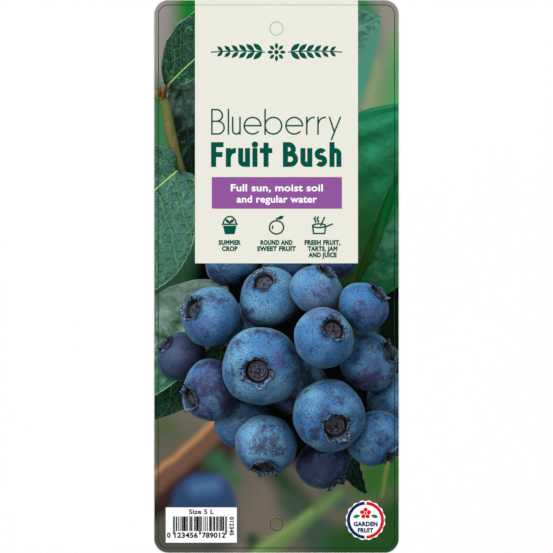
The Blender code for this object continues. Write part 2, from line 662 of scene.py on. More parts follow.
@dataclass(frozen=True)
class BerryPrint(MotifPrint):
    """Blueberry skin with its dusty bloom, worn patches, specks and a dry crown."""

    sheen: Colour = (0.10, 0.14, 0.17, 1.0)
    exposure: Colour = (1.21, 1.26, 1.20, 1.0)
    contrast: float = 1.33
    bloom: Colour = ink(114, 172, 214)
    worn_bloom: Colour = ink(68, 126, 188)
    skin: Colour = ink(50, 46, 82)
    speck: Colour = ink(12, 14, 32)
    # Colour of the painted highlight along the berry's rim, where the skin turns away from the viewer.
    rim: Colour = ink(150, 190, 226)
    blush: Colour = ink(92, 84, 148)
    lobe_dust: Colour = ink(120, 150, 196)
    lobe_rust: Colour = ink(104, 86, 88)
    # Dark colour of the lobes' own dark grit, and of the painted shade inside the crown and at the foot of
    # its lobes.
    lobe_dark_and_shade: Colour = ink(9, 9, 15)
    # Dark colour of the crown floor's grit and cracks, and of the painted shadow ring where the inner wall
    # meets the floor.
    floor_dark_and_shade: Colour = ink(5, 5, 9)
    floor_pale: Colour = ink(92, 92, 114)
    floor_crease: Colour = ink(138, 130, 142)
    floor_rim: Colour = ink(152, 128, 106)

    def surface(self, wires: Wires) -> tuple[Value, Value | Colour]:
        """Mixes bloom, worn skin, specks, a painted pale highlight on the rim, and the crown.

        Args:
            wires: The node helper.

        Returns:
            The berry's colour and its sheen.
        """
        place = wires.attribute("skin_place")
        colour = self.bloomed(wires, place)
        colour = wires.blend(self.specks(wires, place), colour, self.speck)
        # Painted rim highlight: the skin is paler where it turns away from the viewer.
        facing = wires.parts(wires.attribute("painted_light", "Color"))[2]
        colour = wires.blend(wires.ease(facing, 0.5, 0.1) * 0.5, colour, self.rim)
        return self.crown(wires, colour, place, wires.attribute("skin_zone", "Fac")), self.sheen

    def bloomed(self, wires: Wires, place: Value) -> Value:
        """Gives the dusty skin.

        Args:
            wires: The node helper.
            place: Coordinates on the berry, in mm.

        Returns:
            The colour of bloom, blush and bare skin.
        """
        patches = wires.noise(place, scale=0.085, detail=4.0, roughness=0.62)
        mottle = wires.noise(place, scale=0.55, detail=4.0, roughness=0.65)
        dusted = wires.attribute("dust", "Fac")
        bare = wires.ease(patches * 0.72 + mottle * 0.28, dusted - 0.05, dusted + 0.09)
        drift = wires.ease(wires.noise(place, scale=0.06, detail=3.0), 0.35, 0.6)
        blushed = wires.ease(wires.noise(place, scale=0.045), 0.54, 0.68)
        fine = wires.ease(wires.noise(place, scale=1.5, detail=3.0, roughness=0.7), 0.40, 0.68)
        colour = wires.blend(drift, self.bloom, self.worn_bloom)
        colour = wires.blend(blushed * 0.55, colour, self.blush)
        colour = wires.blend(bare * 0.85, colour, self.skin)
        return wires.blend(fine * 0.46, colour, self.skin)

    def specks(self, wires: Wires, place: Value) -> Value:
        """Scatters dark specks, in crowds and of many sizes.

        Args:
            wires: The node helper.
            place: Coordinates on the berry, in mm.

        Returns:
            Where the specks are.
        """
        bent = wires.bent(place, scale=1.4, reach=0.9)
        cells = wires.node("TexVoronoi", {"Vector": bent, "Scale": 1.15}).outputs
        dice = wires.parts(Value(wires, cells["Color"]))
        size = dice[1] * 0.24 + 0.20
        spot = wires.ease(Value(wires, cells["Distance"]), size, size * 0.5)
        crowd = wires.noise(place, scale=0.18, detail=3.0, roughness=0.65) * 2.0
        return spot * wires.ease(dice[0] + crowd, 1.07, 1.22) * 0.92

    def crown(self, wires: Wires, skin: Value, place: Value, zone: Value) -> Value:
        """Lays the dry crown over the skin: pale dusty lobes with painted shade inside them and at their
        foot, and a ringed floor with a painted shadow ring at its edge.

        Args:
            wires: The node helper.
            skin: The skin's colour.
            place: Coordinates on the berry, with the crown on their Z axis.
            zone: 0 on the skin, 1 on the lobes and 2 on the crown's floor.

        Returns:
            The colour with the crown in it.
        """
        grit = wires.noise(place, scale=0.8, detail=5.0, roughness=0.75)
        rusty = wires.ease(wires.noise(place, scale=0.35), 0.5, 0.66)
        lobe = wires.blend(rusty, self.lobe_dust, self.lobe_rust)
        lobe = wires.blend(wires.ease(grit, 0.45, 0.57), lobe, self.lobe_dark_and_shade)
        # Painted shade on the inner side of the lobes.
        lobe = wires.blend(wires.ease(zone, 1.04, 1.18) * 0.6, lobe, self.lobe_dark_and_shade)
        across = wires.measure("LENGTH", wires.vector("MULTIPLY", place, (1, 1, 0)))
        crease = wires.ease(abs(wires.math("SINE", across * 2.3 + grit * 7.0)), 0.34, 0.06)
        crack = wires.ease(wires.cell_walls(wires.bent(place, scale=0.6, reach=2.0), 0.45), 0.07, 0.02)
        dried = wires.ease(zone, 1.86, 1.90) * wires.ease(zone, 1.97, 1.92)
        floor = wires.blend(wires.ease(grit, 0.42, 0.60), self.floor_dark_and_shade, self.floor_pale)
        floor = wires.blend(crease * 0.5, floor, self.floor_crease)
        floor = wires.blend(crack * 0.75, floor, self.floor_dark_and_shade)
        floor = wires.blend(dried * 0.3, floor, self.floor_rim)
        # Painted shadow ring down the inner wall to the floor's edge.
        floor = wires.blend(wires.ease(zone, 1.89, 1.83) * 0.85, floor, self.floor_dark_and_shade)
        # Painted shade in the crease at the foot of the lobes.
        foot = wires.ease(zone, 0.25, 0.5) * wires.ease(zone, 0.95, 0.75)
        colour = wires.blend(foot * 0.7, skin, self.lobe_dark_and_shade)
        colour = wires.blend(wires.ease(zone, 0.6, 0.95), colour, lobe)
        return wires.blend(wires.ease(zone, 1.22, 1.42), colour, floor)


@dataclass(frozen=True)
class LeafPrint(MotifPrint):
    """A leaf blade with a midrib, side veins and a fine net of veins."""

    blade: Colour = ink(54, 102, 88)
    # Darker blade colour, for random tone and for the painted shade of hollows, creases and the way toward
    # the tip.
    deep: Colour = ink(20, 56, 42)
    vein: Colour = ink(104, 180, 108)
    midrib: Colour = ink(168, 200, 112)
    # Colour of the painted light along the blade's margin: a pale highlight on most leaves.
    margin: Colour = ink(176, 206, 196)
    aged: Colour = ink(48, 84, 24)
    sharpness: float = 1.0
    depth: float = 0.0
    tip_shade: float = 0.0
    ageing: float = 0.0
    net_scale: float = 0.25
    mesh_scale: float = 0.9

    def surface(self, wires: Wires) -> tuple[Value, Value | Colour]:
        """Shades the blade, paints shade in its creases, draws its veins and midrib, and paints light along
        its margin.

        Args:
            wires: The node helper.

        Returns:
            The leaf's colour and its sheen.
        """
        along, outward, side_wave = wires.parts(wires.attribute("blade_share"))
        place = wires.attribute("blade_place")
        wavy = wires.bent(place, scale=0.3, reach=2.4)
        net = wires.cell_walls(wavy, self.net_scale)
        sway = wires.noise(place, scale=0.09, detail=3.0) * 0.5
        side = abs(wires.math("FRACT", side_wave + sway) - 0.5)
        colour = self.blade_tone(wires, along, side, net, wavy)
        # Painted shade in fine creases of the blade.
        brushed = wires.stretched(wavy, (0.5, 1.6, 1.0), turn=0.6)
        crease_shade = wires.noise(brushed, scale=0.9, detail=3.0, roughness=0.6)
        colour = wires.blend(wires.ease(crease_shade, 0.50, 0.60) * (0.8 * self.sharpness), colour, self.deep)
        mesh = wires.ease(wires.cell_walls(wavy, self.mesh_scale), 0.12, 0.02)
        veins = wires.math("MAXIMUM", wires.ease(side, 0.019, 0.005), wires.ease(net, 0.030, 0.006) * 0.72)
        veins = wires.math("MAXIMUM", veins, mesh * 0.14)
        colour = wires.blend(veins * (0.7 * self.sharpness), colour, self.vein)
        rib_width = (1.0 - along) * 0.18 + 0.08
        rib = wires.ease(abs(wires.parts(place)[1]), rib_width * 2.0, rib_width * 0.6)
        colour = wires.blend(rib * (0.3 + 0.65 * self.sharpness), colour, self.midrib)
        # Painted light along the margin.
        colour = wires.blend(wires.ease(abs(outward), 0.975, 0.995) * 0.5, colour, self.margin)
        return colour, wires.scaled(self.sheen[:3], 1.0 - along * self.tip_shade)

    def blade_tone(self, wires: Wires, along: Value, side: Value, net: Value, wavy: Value) -> Value:
        """Shades the blade between its veins, darker in the hollows and toward the tip.

        Args:
            wires: The node helper.
            along: Share of the way from stalk to tip.
            side: Distance to the nearest side vein.
            net: Distance to the nearest vein of the net.
            wavy: Coordinates on the blade, in mm, bent as the net is.

        Returns:
            The blade's colour.
        """
        tone = wires.noise(wires.attribute("blade_place"), scale=0.12, detail=4.0, roughness=0.6)
        # Painted light and shade of the blade's relief: lighter on the pillows between veins, lit on one
        # side of each vein and shaded on the other.
        pillow_light = wires.ease(side, 0.03, 0.5) + wires.ease(net, 0.03, 0.30)
        net_shifted_to_light = wires.cell_walls(wires.vector("ADD", wavy, (0.5, 0.4, 0.0)), self.net_scale)
        dark = tone * 0.9 + pillow_light * (-0.24 * self.sharpness) + (net_shifted_to_light - net) * (1.8 * self.sharpness)
        dark = dark + (along * self.tip_shade + self.depth)
        colour = wires.blend(wires.ease(dark, 0.2, 0.7), self.blade, self.deep)
        old = wires.ease(along + tone * 0.4, 0.66, 1.0)
        return wires.blend(old * self.ageing, colour, self.aged)


@dataclass(frozen=True)
class TwigPrint(MotifPrint):
    """Young bark, tan with red and green streaks."""

    sheen: Colour = (0.05, 0.05, 0.04, 1.0)
    contrast: float = 1.0
    bark: Colour = ink(150, 128, 84)
    streak: Colour = ink(140, 88, 60)
    moss: Colour = ink(100, 134, 66)
    speck: Colour = ink(112, 48, 32)

    def surface(self, wires: Wires) -> tuple[Value, Value | Colour]:
        """Streaks the bark along its length.

        Args:
            wires: The node helper.

        Returns:
            The bark's colour and its sheen.
        """
        place = wires.place()
        drawn = wires.stretched(place, (1.0, 0.22, 1.0))
        streaks = wires.noise(drawn, scale=0.6, detail=4.0, roughness=0.6)
        patches = wires.noise(wires.stretched(place, (1.0, 0.3, 1.0)), scale=0.3)
        speckle = wires.ease(wires.noise(place, scale=1.6), 0.6, 0.68)
        colour = wires.blend(wires.ease(streaks, 0.42, 0.7), self.bark, self.streak)
        colour = wires.blend(wires.ease(patches, 0.42, 0.58) * 0.85, colour, self.moss)
        return wires.blend(speckle * 0.6, colour, self.speck), self.sheen


BACKDROP = BackdropPrint("backdrop_print")
CREAM = FlatInk("cream_print", colour=ink(234, 233, 222), grain=0.03)
WHITE = FlatInk("white_print", colour=ink(254, 254, 254), grain=0.02)
GREEN = FlatInk("dark_green_ink", colour=ink(0, 84, 68), grain=0.14)
PURPLE = FlatInk("purple_ink", colour=ink(146, 86, 158), grain=0.06)
BLACK = FlatInk("black_ink", colour=ink(16, 16, 18), grain=0.2)
NAVY = FlatInk("navy_ink", colour=ink(20, 34, 96), grain=0.12)
RED = FlatInk("red_ink", colour=ink(214, 24, 30), grain=0.10)
SEAL_GREEN = FlatInk("seal_green_ink", colour=ink(30, 132, 64), grain=0.10)
PALE_LINE = FlatInk("pale_line_ink", colour=ink(150, 205, 170), grain=0.08)
DARK_LINE = FlatInk("dark_line_ink", colour=ink(14, 72, 38), grain=0.10, opacity=0.55)
BERRY = BerryPrint("berry_print")
DEEP_LEAF = LeafPrint("deep_leaf_print", exposure=(1.28, 1.25, 1.26, 1.0))
DARK_LEAF = LeafPrint(
    "dark_leaf_print",
    blade=ink(28, 62, 54),
    deep=ink(4, 20, 16),
    vein=ink(84, 160, 90),
    midrib=ink(140, 190, 92),
    sheen=(0.05, 0.08, 0.07, 1.0),
    exposure=(1.3, 1.3, 1.25, 1.0),
)
SHADED_LEAF = LeafPrint(
    "shaded_leaf_print",
    blade=ink(96, 134, 122),
    deep=ink(10, 34, 24),
    vein=ink(60, 100, 60),
    midrib=ink(52, 84, 68),
    sheen=(0.03, 0.05, 0.04, 1.0),
    sharpness=0.3,
    depth=-0.18,
    tip_shade=0.75,
)
SILVER_LEAF = LeafPrint(
    "silver_leaf_print",
    blade=ink(84, 150, 132),
    deep=ink(20, 74, 52),
    vein=ink(140, 200, 166),
    midrib=ink(140, 196, 150),
    sharpness=0.3,
)
GREY_LEAF = LeafPrint(
    "grey_leaf_print",
    blade=ink(138, 168, 160),
    deep=ink(30, 84, 50),
    vein=ink(170, 196, 184),
    midrib=ink(70, 140, 76),
    sheen=(0.12, 0.16, 0.16, 1.0),
    exposure=(1.8, 1.85, 1.75, 1.0),
    sharpness=0.2,
    depth=-0.34,
    tip_shade=0.9,
)
BRIGHT_LEAF = LeafPrint(
    "bright_leaf_print",
    blade=ink(22, 146, 98),
    deep=ink(6, 98, 44),
    vein=ink(70, 160, 104),
    midrib=ink(86, 84, 34),
    sheen=(0.09, 0.20, 0.16, 1.0),
    margin=ink(72, 128, 74),
    sharpness=0.18,
    depth=-0.26,
    tip_shade=1.05,
    ageing=0.9,
)
LOW_LEAF = LeafPrint(
    "low_leaf_print",
    blade=ink(84, 160, 126),
    deep=ink(14, 98, 52),
    vein=ink(90, 160, 120),
    midrib=ink(60, 120, 80),
    sheen=(0.05, 0.09, 0.08, 1.0),
    margin=ink(40, 92, 60),
    exposure=(1.8, 1.8, 1.8, 1.0),
    sharpness=0.2,
    depth=-0.5,
    tip_shade=0.9,
)
TWIG = TwigPrint("twig_print")
BUD = TwigPrint("bud_print", bark=ink(92, 42, 34), streak=ink(42, 14, 16), moss=ink(140, 78, 46))


def in_scene(name: str, data: bpy.types.ID) -> bpy.types.Object:
    """Makes an object of some data and links it to the scene.

    Args:
        name: The object's name.
        data: What it shows.

    Returns:
        The object.
    """
    made = bpy.data.objects.new(name, data)
    bpy.context.scene.collection.objects.link(made)
    return made


def stored(name: str, made: Mesh) -> bpy.types.Mesh:
    """Keeps a mesh as Blender's own data and frees it.

    Args:
        name: The data's name.
        made: The mesh.

    Returns:
        The data.
    """
    data = bpy.data.meshes.new(name)
    made.to_mesh(data)
    made.free()
    return data


def evaluated(maker: bpy.types.Object) -> Mesh:
    """Gives the mesh that an object's modifiers or curve come to, and removes the object.

    Args:
        maker: The object.

    Returns:
        Its mesh.
    """
    graph = bpy.context.evaluated_depsgraph_get()
    data = bpy.data.meshes.new_from_object(maker.evaluated_get(graph))
    made = bmesh.new()
    made.from_mesh(data)
    bpy.data.objects.remove(maker)
    bpy.data.meshes.remove(data)
    return made


def mesh_of(data: bpy.types.Curve) -> Mesh:
    """Turns a curve or a text into a closed mesh and removes what it was made from.

    Args:
        data: The curve or text data.

    Returns:
        Its mesh, with doubles merged and faces pointing out.
    """
    made = evaluated(in_scene(data.name, data))
    bpy.data.curves.remove(data)
    bmesh.ops.remove_doubles(made, verts=made.verts[:], dist=MERGE_DISTANCE)
    bmesh.ops.recalc_face_normals(made, faces=made.faces[:])
    return made


def fused(made: Mesh) -> Mesh:
    """Unites closed shapes that overlap in one mesh.

    Args:
        made: The mesh, which is freed.

    Returns:
        One closed skin round all of it.
    """
    laid = stored("laid", made)
    maker = in_scene("laid", laid)
    union = maker.modifiers.new("union", "BOOLEAN")
    union.operation = "UNION"
    union.operand_type = "COLLECTION"
    union.solver = "EXACT"
    union.use_self = True
    result = evaluated(maker)
    bpy.data.meshes.remove(laid)
    return result


def joined(meshes: Iterable[Mesh]) -> Mesh:
    """Puts several meshes into one.

    Args:
        meshes: The meshes, which are freed.

    Returns:
        The one mesh.
    """
    made = bmesh.new()
    for mesh in meshes:
        step = stored("step", mesh)
        made.from_mesh(step)
        bpy.data.meshes.remove(step)
    return made


def poly_line(curve: bpy.types.Curve, points: Iterable[Sequence[float]], closed: bool) -> None:
    """Adds one straight-sided line to a curve.

    Args:
        curve: The curve's data.
        points: The line's points, flat or in space.
        closed: True where the last point joins the first.
    """
    places = list(points)
    spline = curve.splines.new("POLY")
    spline.points.add(len(places) - 1)
    for point, place in zip(spline.points, places):
        point.co = (*place, *(0.0,) * (3 - len(place)), 1.0)
    spline.use_cyclic_u = closed


def ribbon(paths: Iterable[Sequence[Point]], width: float, span: Span, closed: bool = False) -> Mesh:
    """Draws flat lines of one width along paths.

    Args:
        paths: The centre lines.
        width: Width of the line.
        span: Bottom and top of the line.
        closed: True where each path ends where it starts.

    Returns:
        The mesh of all the lines.
    """
    profile = bpy.data.curves.new("ribbon_profile", "CURVE")
    x, y = width / 2, span.depth / 2
    poly_line(profile, ((-x, -y), (-x, y), (x, y), (x, -y)), closed=True)
    profile_object = in_scene("ribbon_profile", profile)
    curve = bpy.data.curves.new("ribbon", "CURVE")
    curve.dimensions = "2D"
    curve.bevel_mode = "OBJECT"
    curve.bevel_object = profile_object
    curve.use_fill_caps = True
    for path in paths:
        poly_line(curve, path, closed)
    made = mesh_of(curve)
    bpy.data.objects.remove(profile_object)
    bpy.data.curves.remove(profile)
    bmesh.ops.translate(made, verts=made.verts[:], vec=(0, 0, span.middle))
    return made


def arc(centre: Point, radii: Point, start: float, end: float, steps: int = 20) -> list[Point]:
    """Gives both ends and the points between on an arc of an ellipse, in degrees from the right."""
    angles = [math.radians(start + (end - start) * step / steps) for step in range(steps + 1)]
    return [(centre[0] + radii[0] * math.cos(a), centre[1] + radii[1] * math.sin(a)) for a in angles]


def circle(centre: Point, radius: float, steps: int = 64) -> list[Point]:
    """Gives the points of a circle, where the last comes before the first."""
    return arc(centre, (radius, radius), 0, 360, steps)[:-1]


def rounded_rectangle(half_width: float, half_height: float, corner: float) -> list[Point]:
    """Gives the outline of a rectangle with round corners, anticlockwise from the right side's foot.

    Args:
        half_width: Half its width.
        half_height: Half its height.
        corner: Radius of its corners.

    Returns:
        The outline.
    """
    x, y = half_width - corner, half_height - corner
    corners = (((x, -y), -90), ((x, y), 0), ((-x, y), 90), ((-x, -y), 180))
    outline = []
    for centre, start in corners:
        outline += arc(centre, (corner, corner), start, start + 90, CORNER_STEPS)
    return outline


def thicken(made: Mesh, span: Span) -> Mesh:
    """Makes a flat outline solid.

    Args:
        made: The outline's faces.
        span: Bottom and top of the solid.

    Returns:
        The same mesh, lifted to the span's foot and extruded to its top.
    """
    bmesh.ops.recalc_face_normals(made, faces=made.faces[:])
    for vertex in made.verts:
        vertex.co.z = span.low
    grown = bmesh.ops.extrude_face_region(made, geom=made.faces[:])["geom"]
    top = [item for item in grown if isinstance(item, bmesh.types.BMVert)]
    bmesh.ops.translate(made, verts=top, vec=(0, 0, span.depth))
    bmesh.ops.recalc_face_normals(made, faces=made.faces[:])
    return made


def add_loop(made: Mesh, points: Sequence[Point]) -> list[bmesh.types.BMEdge]:
    """Adds a closed loop of edges through these points."""
    corners = [made.verts.new((x, y, 0.0)) for x, y in points]
    return [made.edges.new(pair) for pair in zip(corners, corners[1:] + corners[:1])]


def plate(outline: Sequence[Point], span: Span, holes: Sequence[Sequence[Point]] = ()) -> Mesh:
    """Makes a flat plate with holes through it.

    Args:
        outline: Points of its edge.
        span: Its bottom and top.
        holes: Points of each hole's edge.

    Returns:
        The closed plate.
    """
    made = bmesh.new()
    edges = add_loop(made, outline)
    for hole in holes:
        edges += add_loop(made, hole)
    bmesh.ops.triangle_fill(made, use_beauty=True, use_dissolve=False, edges=edges)
    return thicken(made, span)


def block(low: Point, high: Point, span: Span) -> Mesh:
    """Makes one rectangular block.

    Args:
        low: Its lower left corner.
        high: Its upper right corner.
        span: Its bottom and top.

    Returns:
        The closed block.
    """
    made = bmesh.new()
    size = (high[0] - low[0], high[1] - low[1], span.depth)
    middle = ((low[0] + high[0]) / 2, (low[1] + high[1]) / 2, span.middle)
    placed = Matrix.Translation(middle) @ Matrix.Diagonal((*size, 1.0))
    bmesh.ops.create_cube(made, size=1.0, matrix=placed)
    return made


def disc(centre: Point, radius: float, span: Span, steps: int = 48) -> Mesh:
    """Makes one round, flat disc.

    Args:
        centre: Its middle.
        radius: Its radius.
        span: Its bottom and top.
        steps: How many straight stretches its edge has.

    Returns:
        The closed disc.
    """
    made = bmesh.new()
    placed = Matrix.Translation((*centre, 0.0))
    bmesh.ops.create_circle(made, cap_ends=True, segments=steps, radius=radius, matrix=placed)
    return thicken(made, span)


def leaf_plate(root: Point, turn: float, reach: Point, width: float, span: Span, steps: int = 10) -> Mesh:
    """Makes one flat pointed leaf.

    Args:
        root: The point that it grows from.
        turn: Which way it points, in degrees.
        reach: How far from the root it starts and ends.
        width: Its greatest width.
        span: Its bottom and top.
        steps: How many straight stretches each side has.

    Returns:
        The closed plate.
    """
    near, far = reach
    shares = [step / steps for step in range(steps + 1)]
    upper = [(near + (far - near) * share, width / 2 * math.sin(math.pi * share)) for share in shares]
    lower = [(x, -y) for x, y in reversed(upper[1:-1])]
    cos, sin = math.cos(math.radians(turn)), math.sin(math.radians(turn))
    turned = [(x * cos - y * sin, x * sin + y * cos) for x, y in upper + lower]
    return plate([(root[0] + x, root[1] + y) for x, y in turned], span)


@dataclass(frozen=True)
class TypeLine:
    """One line of plain type: its words, where it stands and how heavy it is."""

    text: str
    centre: float
    baseline: float
    width: float
    cap_height: float
    weight: float = 0.04

    def build(self, span: Span) -> Mesh:
        """Sets the line.

        Args:
            span: Bottom and top of the print.

        Returns:
            The mesh of its letters.
        """
        ruler = self.letters("H")
        low = min(vertex.co.y for vertex in ruler.verts)
        capital = max(vertex.co.y for vertex in ruler.verts) - low
        ruler.free()
        made = self.letters(self.text)
        left = min(vertex.co.x for vertex in made.verts)
        right = max(vertex.co.x for vertex in made.verts)
        thick = max(vertex.co.z for vertex in made.verts)
        scale = (self.width / (right - left), self.cap_height / capital, span.depth / 2 / thick, 1.0)
        centred = Matrix.Translation((-(left + right) / 2, -low, 0))
        place = Matrix.Translation((self.centre, self.baseline, span.middle))
        made.transform(place @ Matrix.Diagonal(scale) @ centred)
        return made

    def letters(self, text: str) -> Mesh:
        """Makes letters of size 1 whose sloping sides make them heavier.

        Args:
            text: The letters.

        Returns:
            Their closed mesh.
        """
        letters = bpy.data.curves.new("letters", "FONT")
        letters.body = text
        letters.extrude = 0.05
        letters.bevel_depth = self.weight
        letters.bevel_resolution = 0
        letters.space_character = 1 + 1.6 * self.weight
        letters.resolution_u = 4
        return mesh_of(letters)


@dataclass(frozen=True)
class TypeBlock:
    """Lines of one type about one middle, each given by its words, its baseline and its width."""

    lines: Sequence[tuple[str, float, float]]
    centre: float
    cap_height: float
    weight: float = 0.04

    def build(self, span: Span) -> Mesh:
        """Sets the lines as one mesh."""
        size = (self.cap_height, self.weight)
        return joined(TypeLine(text, self.centre, *place, *size).build(span) for text, *place in self.lines)


@dataclass
class SubAssembly:
    """A part of the label that builds its meshes and dresses them."""

    sheet: Sheet
    slot: Slot = Slot.PICTURE

    def build(self) -> None:
        """Makes its pieces."""
        raise NotImplementedError

    def add(
        self, name: str, made: Mesh, finish: Finish, replaces: str = "", slot: Slot | None = None
    ) -> None:
        """Turns a mesh in millimetres into a finished piece that rides on the label.

        Args:
            name: The piece's name.
            made: Its mesh, which is freed.
            finish: What it is finished in.
            replaces: The CAD node that the piece stands for, if any.
            slot: A material slot other than the sub-assembly's own; it is not used.
        """
        slot = slot or self.slot
        made.transform(Matrix.Scale(MM, 4))
        mesh = stored(name, made)
        mesh.shade_flat()
        mesh.materials.append(finish.material())
        piece = in_scene(name, mesh)
        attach(piece, BODY)
        if replaces:
            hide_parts(replaces)
        log.info("%s: %d faces in %s", name, len(mesh.polygons), finish.name)


@dataclass
class PlasticSheet(SubAssembly):
    """The white plastic sheet with the backdrop on it, its two discs and the border line."""

    edge_radius: float = 0.05
    rim_angle: float = 60.0
    line_width: float = 0.29
    ring_radius: float = 2.72

    def build(self) -> None:
        """Makes the sheet, the discs and the lines."""
        sheet = self.sheet
        top, bottom = (0.0, sheet.hole_y), (0.0, -sheet.hole_y)
        outline = rounded_rectangle(sheet.half_width, sheet.half_height, sheet.corner)
        holes = [circle(end, sheet.hole_radius) for end in (top, bottom)]
        core = self.softened(plate(outline, sheet.span(Layer.CORE), holes))
        self.add("sheet_core", core, BACKDROP, replaces="sheet")
        low = self.softened(plate(circle(bottom, sheet.disc_radius), sheet.span(Layer.CORE)))
        self.add("bottom_push_out", low, BACKDROP, replaces="bottom_disc")
        high = self.softened(plate(circle(top, sheet.disc_radius), Span(0.0, sheet.span(Layer.FILM).high)))
        self.add("top_push_out", high, CREAM, replaces="top_disc", slot=Slot.PANEL)
        self.border()
        for name, end, layer, finish, slot in (
            ("bottom_ring", bottom, Layer.LINE, DARK_LINE, Slot.PICTURE),
            ("top_ring", top, Layer.FIRST_PRINT, PALE_LINE, Slot.PANEL),
        ):
            ring = ribbon([circle(end, self.ring_radius)], self.line_width, sheet.span(layer), closed=True)
            self.add(name, ring, finish, slot=slot)

    def softened(self, made: Mesh) -> Mesh:
        """Takes the sharpness off the rims of a plate.

        Args:
            made: The plate.

        Returns:
            The same plate, bevelled.
        """
        limit = math.radians(self.rim_angle)
        rims = [edge for edge in made.edges if edge.calc_face_angle(0.0) > limit]
        bmesh.ops.bevel(
            made, geom=rims, offset=self.edge_radius, affect="EDGES", segments=2, profile=0.5, material=-1
        )
        return made

    def border(self) -> None:
        """Prints the border line, pale where it crosses the panel and dark round the picture."""
        sheet = self.sheet
        top = sheet.border_half_height
        outline = rounded_rectangle(sheet.border_half_width, top, sheet.border_corner)
        right_side, left_side = outline[: len(outline) // 2], outline[len(outline) // 2 :]
        left, right = (-Panel.half_width, top), (Panel.half_width, top)
        line = ribbon([[left, *left_side, *right_side, right]], self.line_width, sheet.span(Layer.LINE))
        self.add("border_on_picture", line, DARK_LINE)
        line = ribbon([[left, right]], self.line_width, sheet.span(Layer.FIRST_PRINT))
        self.add("border_on_panel", line, PALE_LINE, slot=Slot.PANEL)


@dataclass
class Panel(SubAssembly):
    """The cream panel down from the top edge, with its purple band."""

    slot: Slot = Slot.PANEL
    half_width: float = 34.5
    foot: float = 5.6
    band_low: Point = (-27.4, 28.7)
    band_high: Point = (27.7, 42.1)
    type_height: float = 3.05
    type_weight: float = 0.026

    def build(self) -> None:
        """Makes the film, the band and the band's two lines."""
        sheet = self.sheet
        hole = circle((0.0, sheet.hole_y), sheet.hole_radius)
        x, top = self.half_width, sheet.half_height
        outline = [(-x, self.foot), (x, self.foot), (x, top), (-x, top)]
        self.add("cream_panel", plate(outline, sheet.span(Layer.FILM), [hole]), CREAM)
        band = block(self.band_low, self.band_high, sheet.span(Layer.FIRST_PRINT))
        self.add("purple_band", band, PURPLE)
        middle = (self.band_low[0] + self.band_high[0]) / 2
        lines = (("Full sun, moist soil", 36.05, 39.0), ("and regular water", 31.25, 34.0))
        words = TypeBlock(lines, middle, self.type_height, self.type_weight)
        self.add("band_lettering", words.build(sheet.span(Layer.LAST_PRINT)), WHITE)


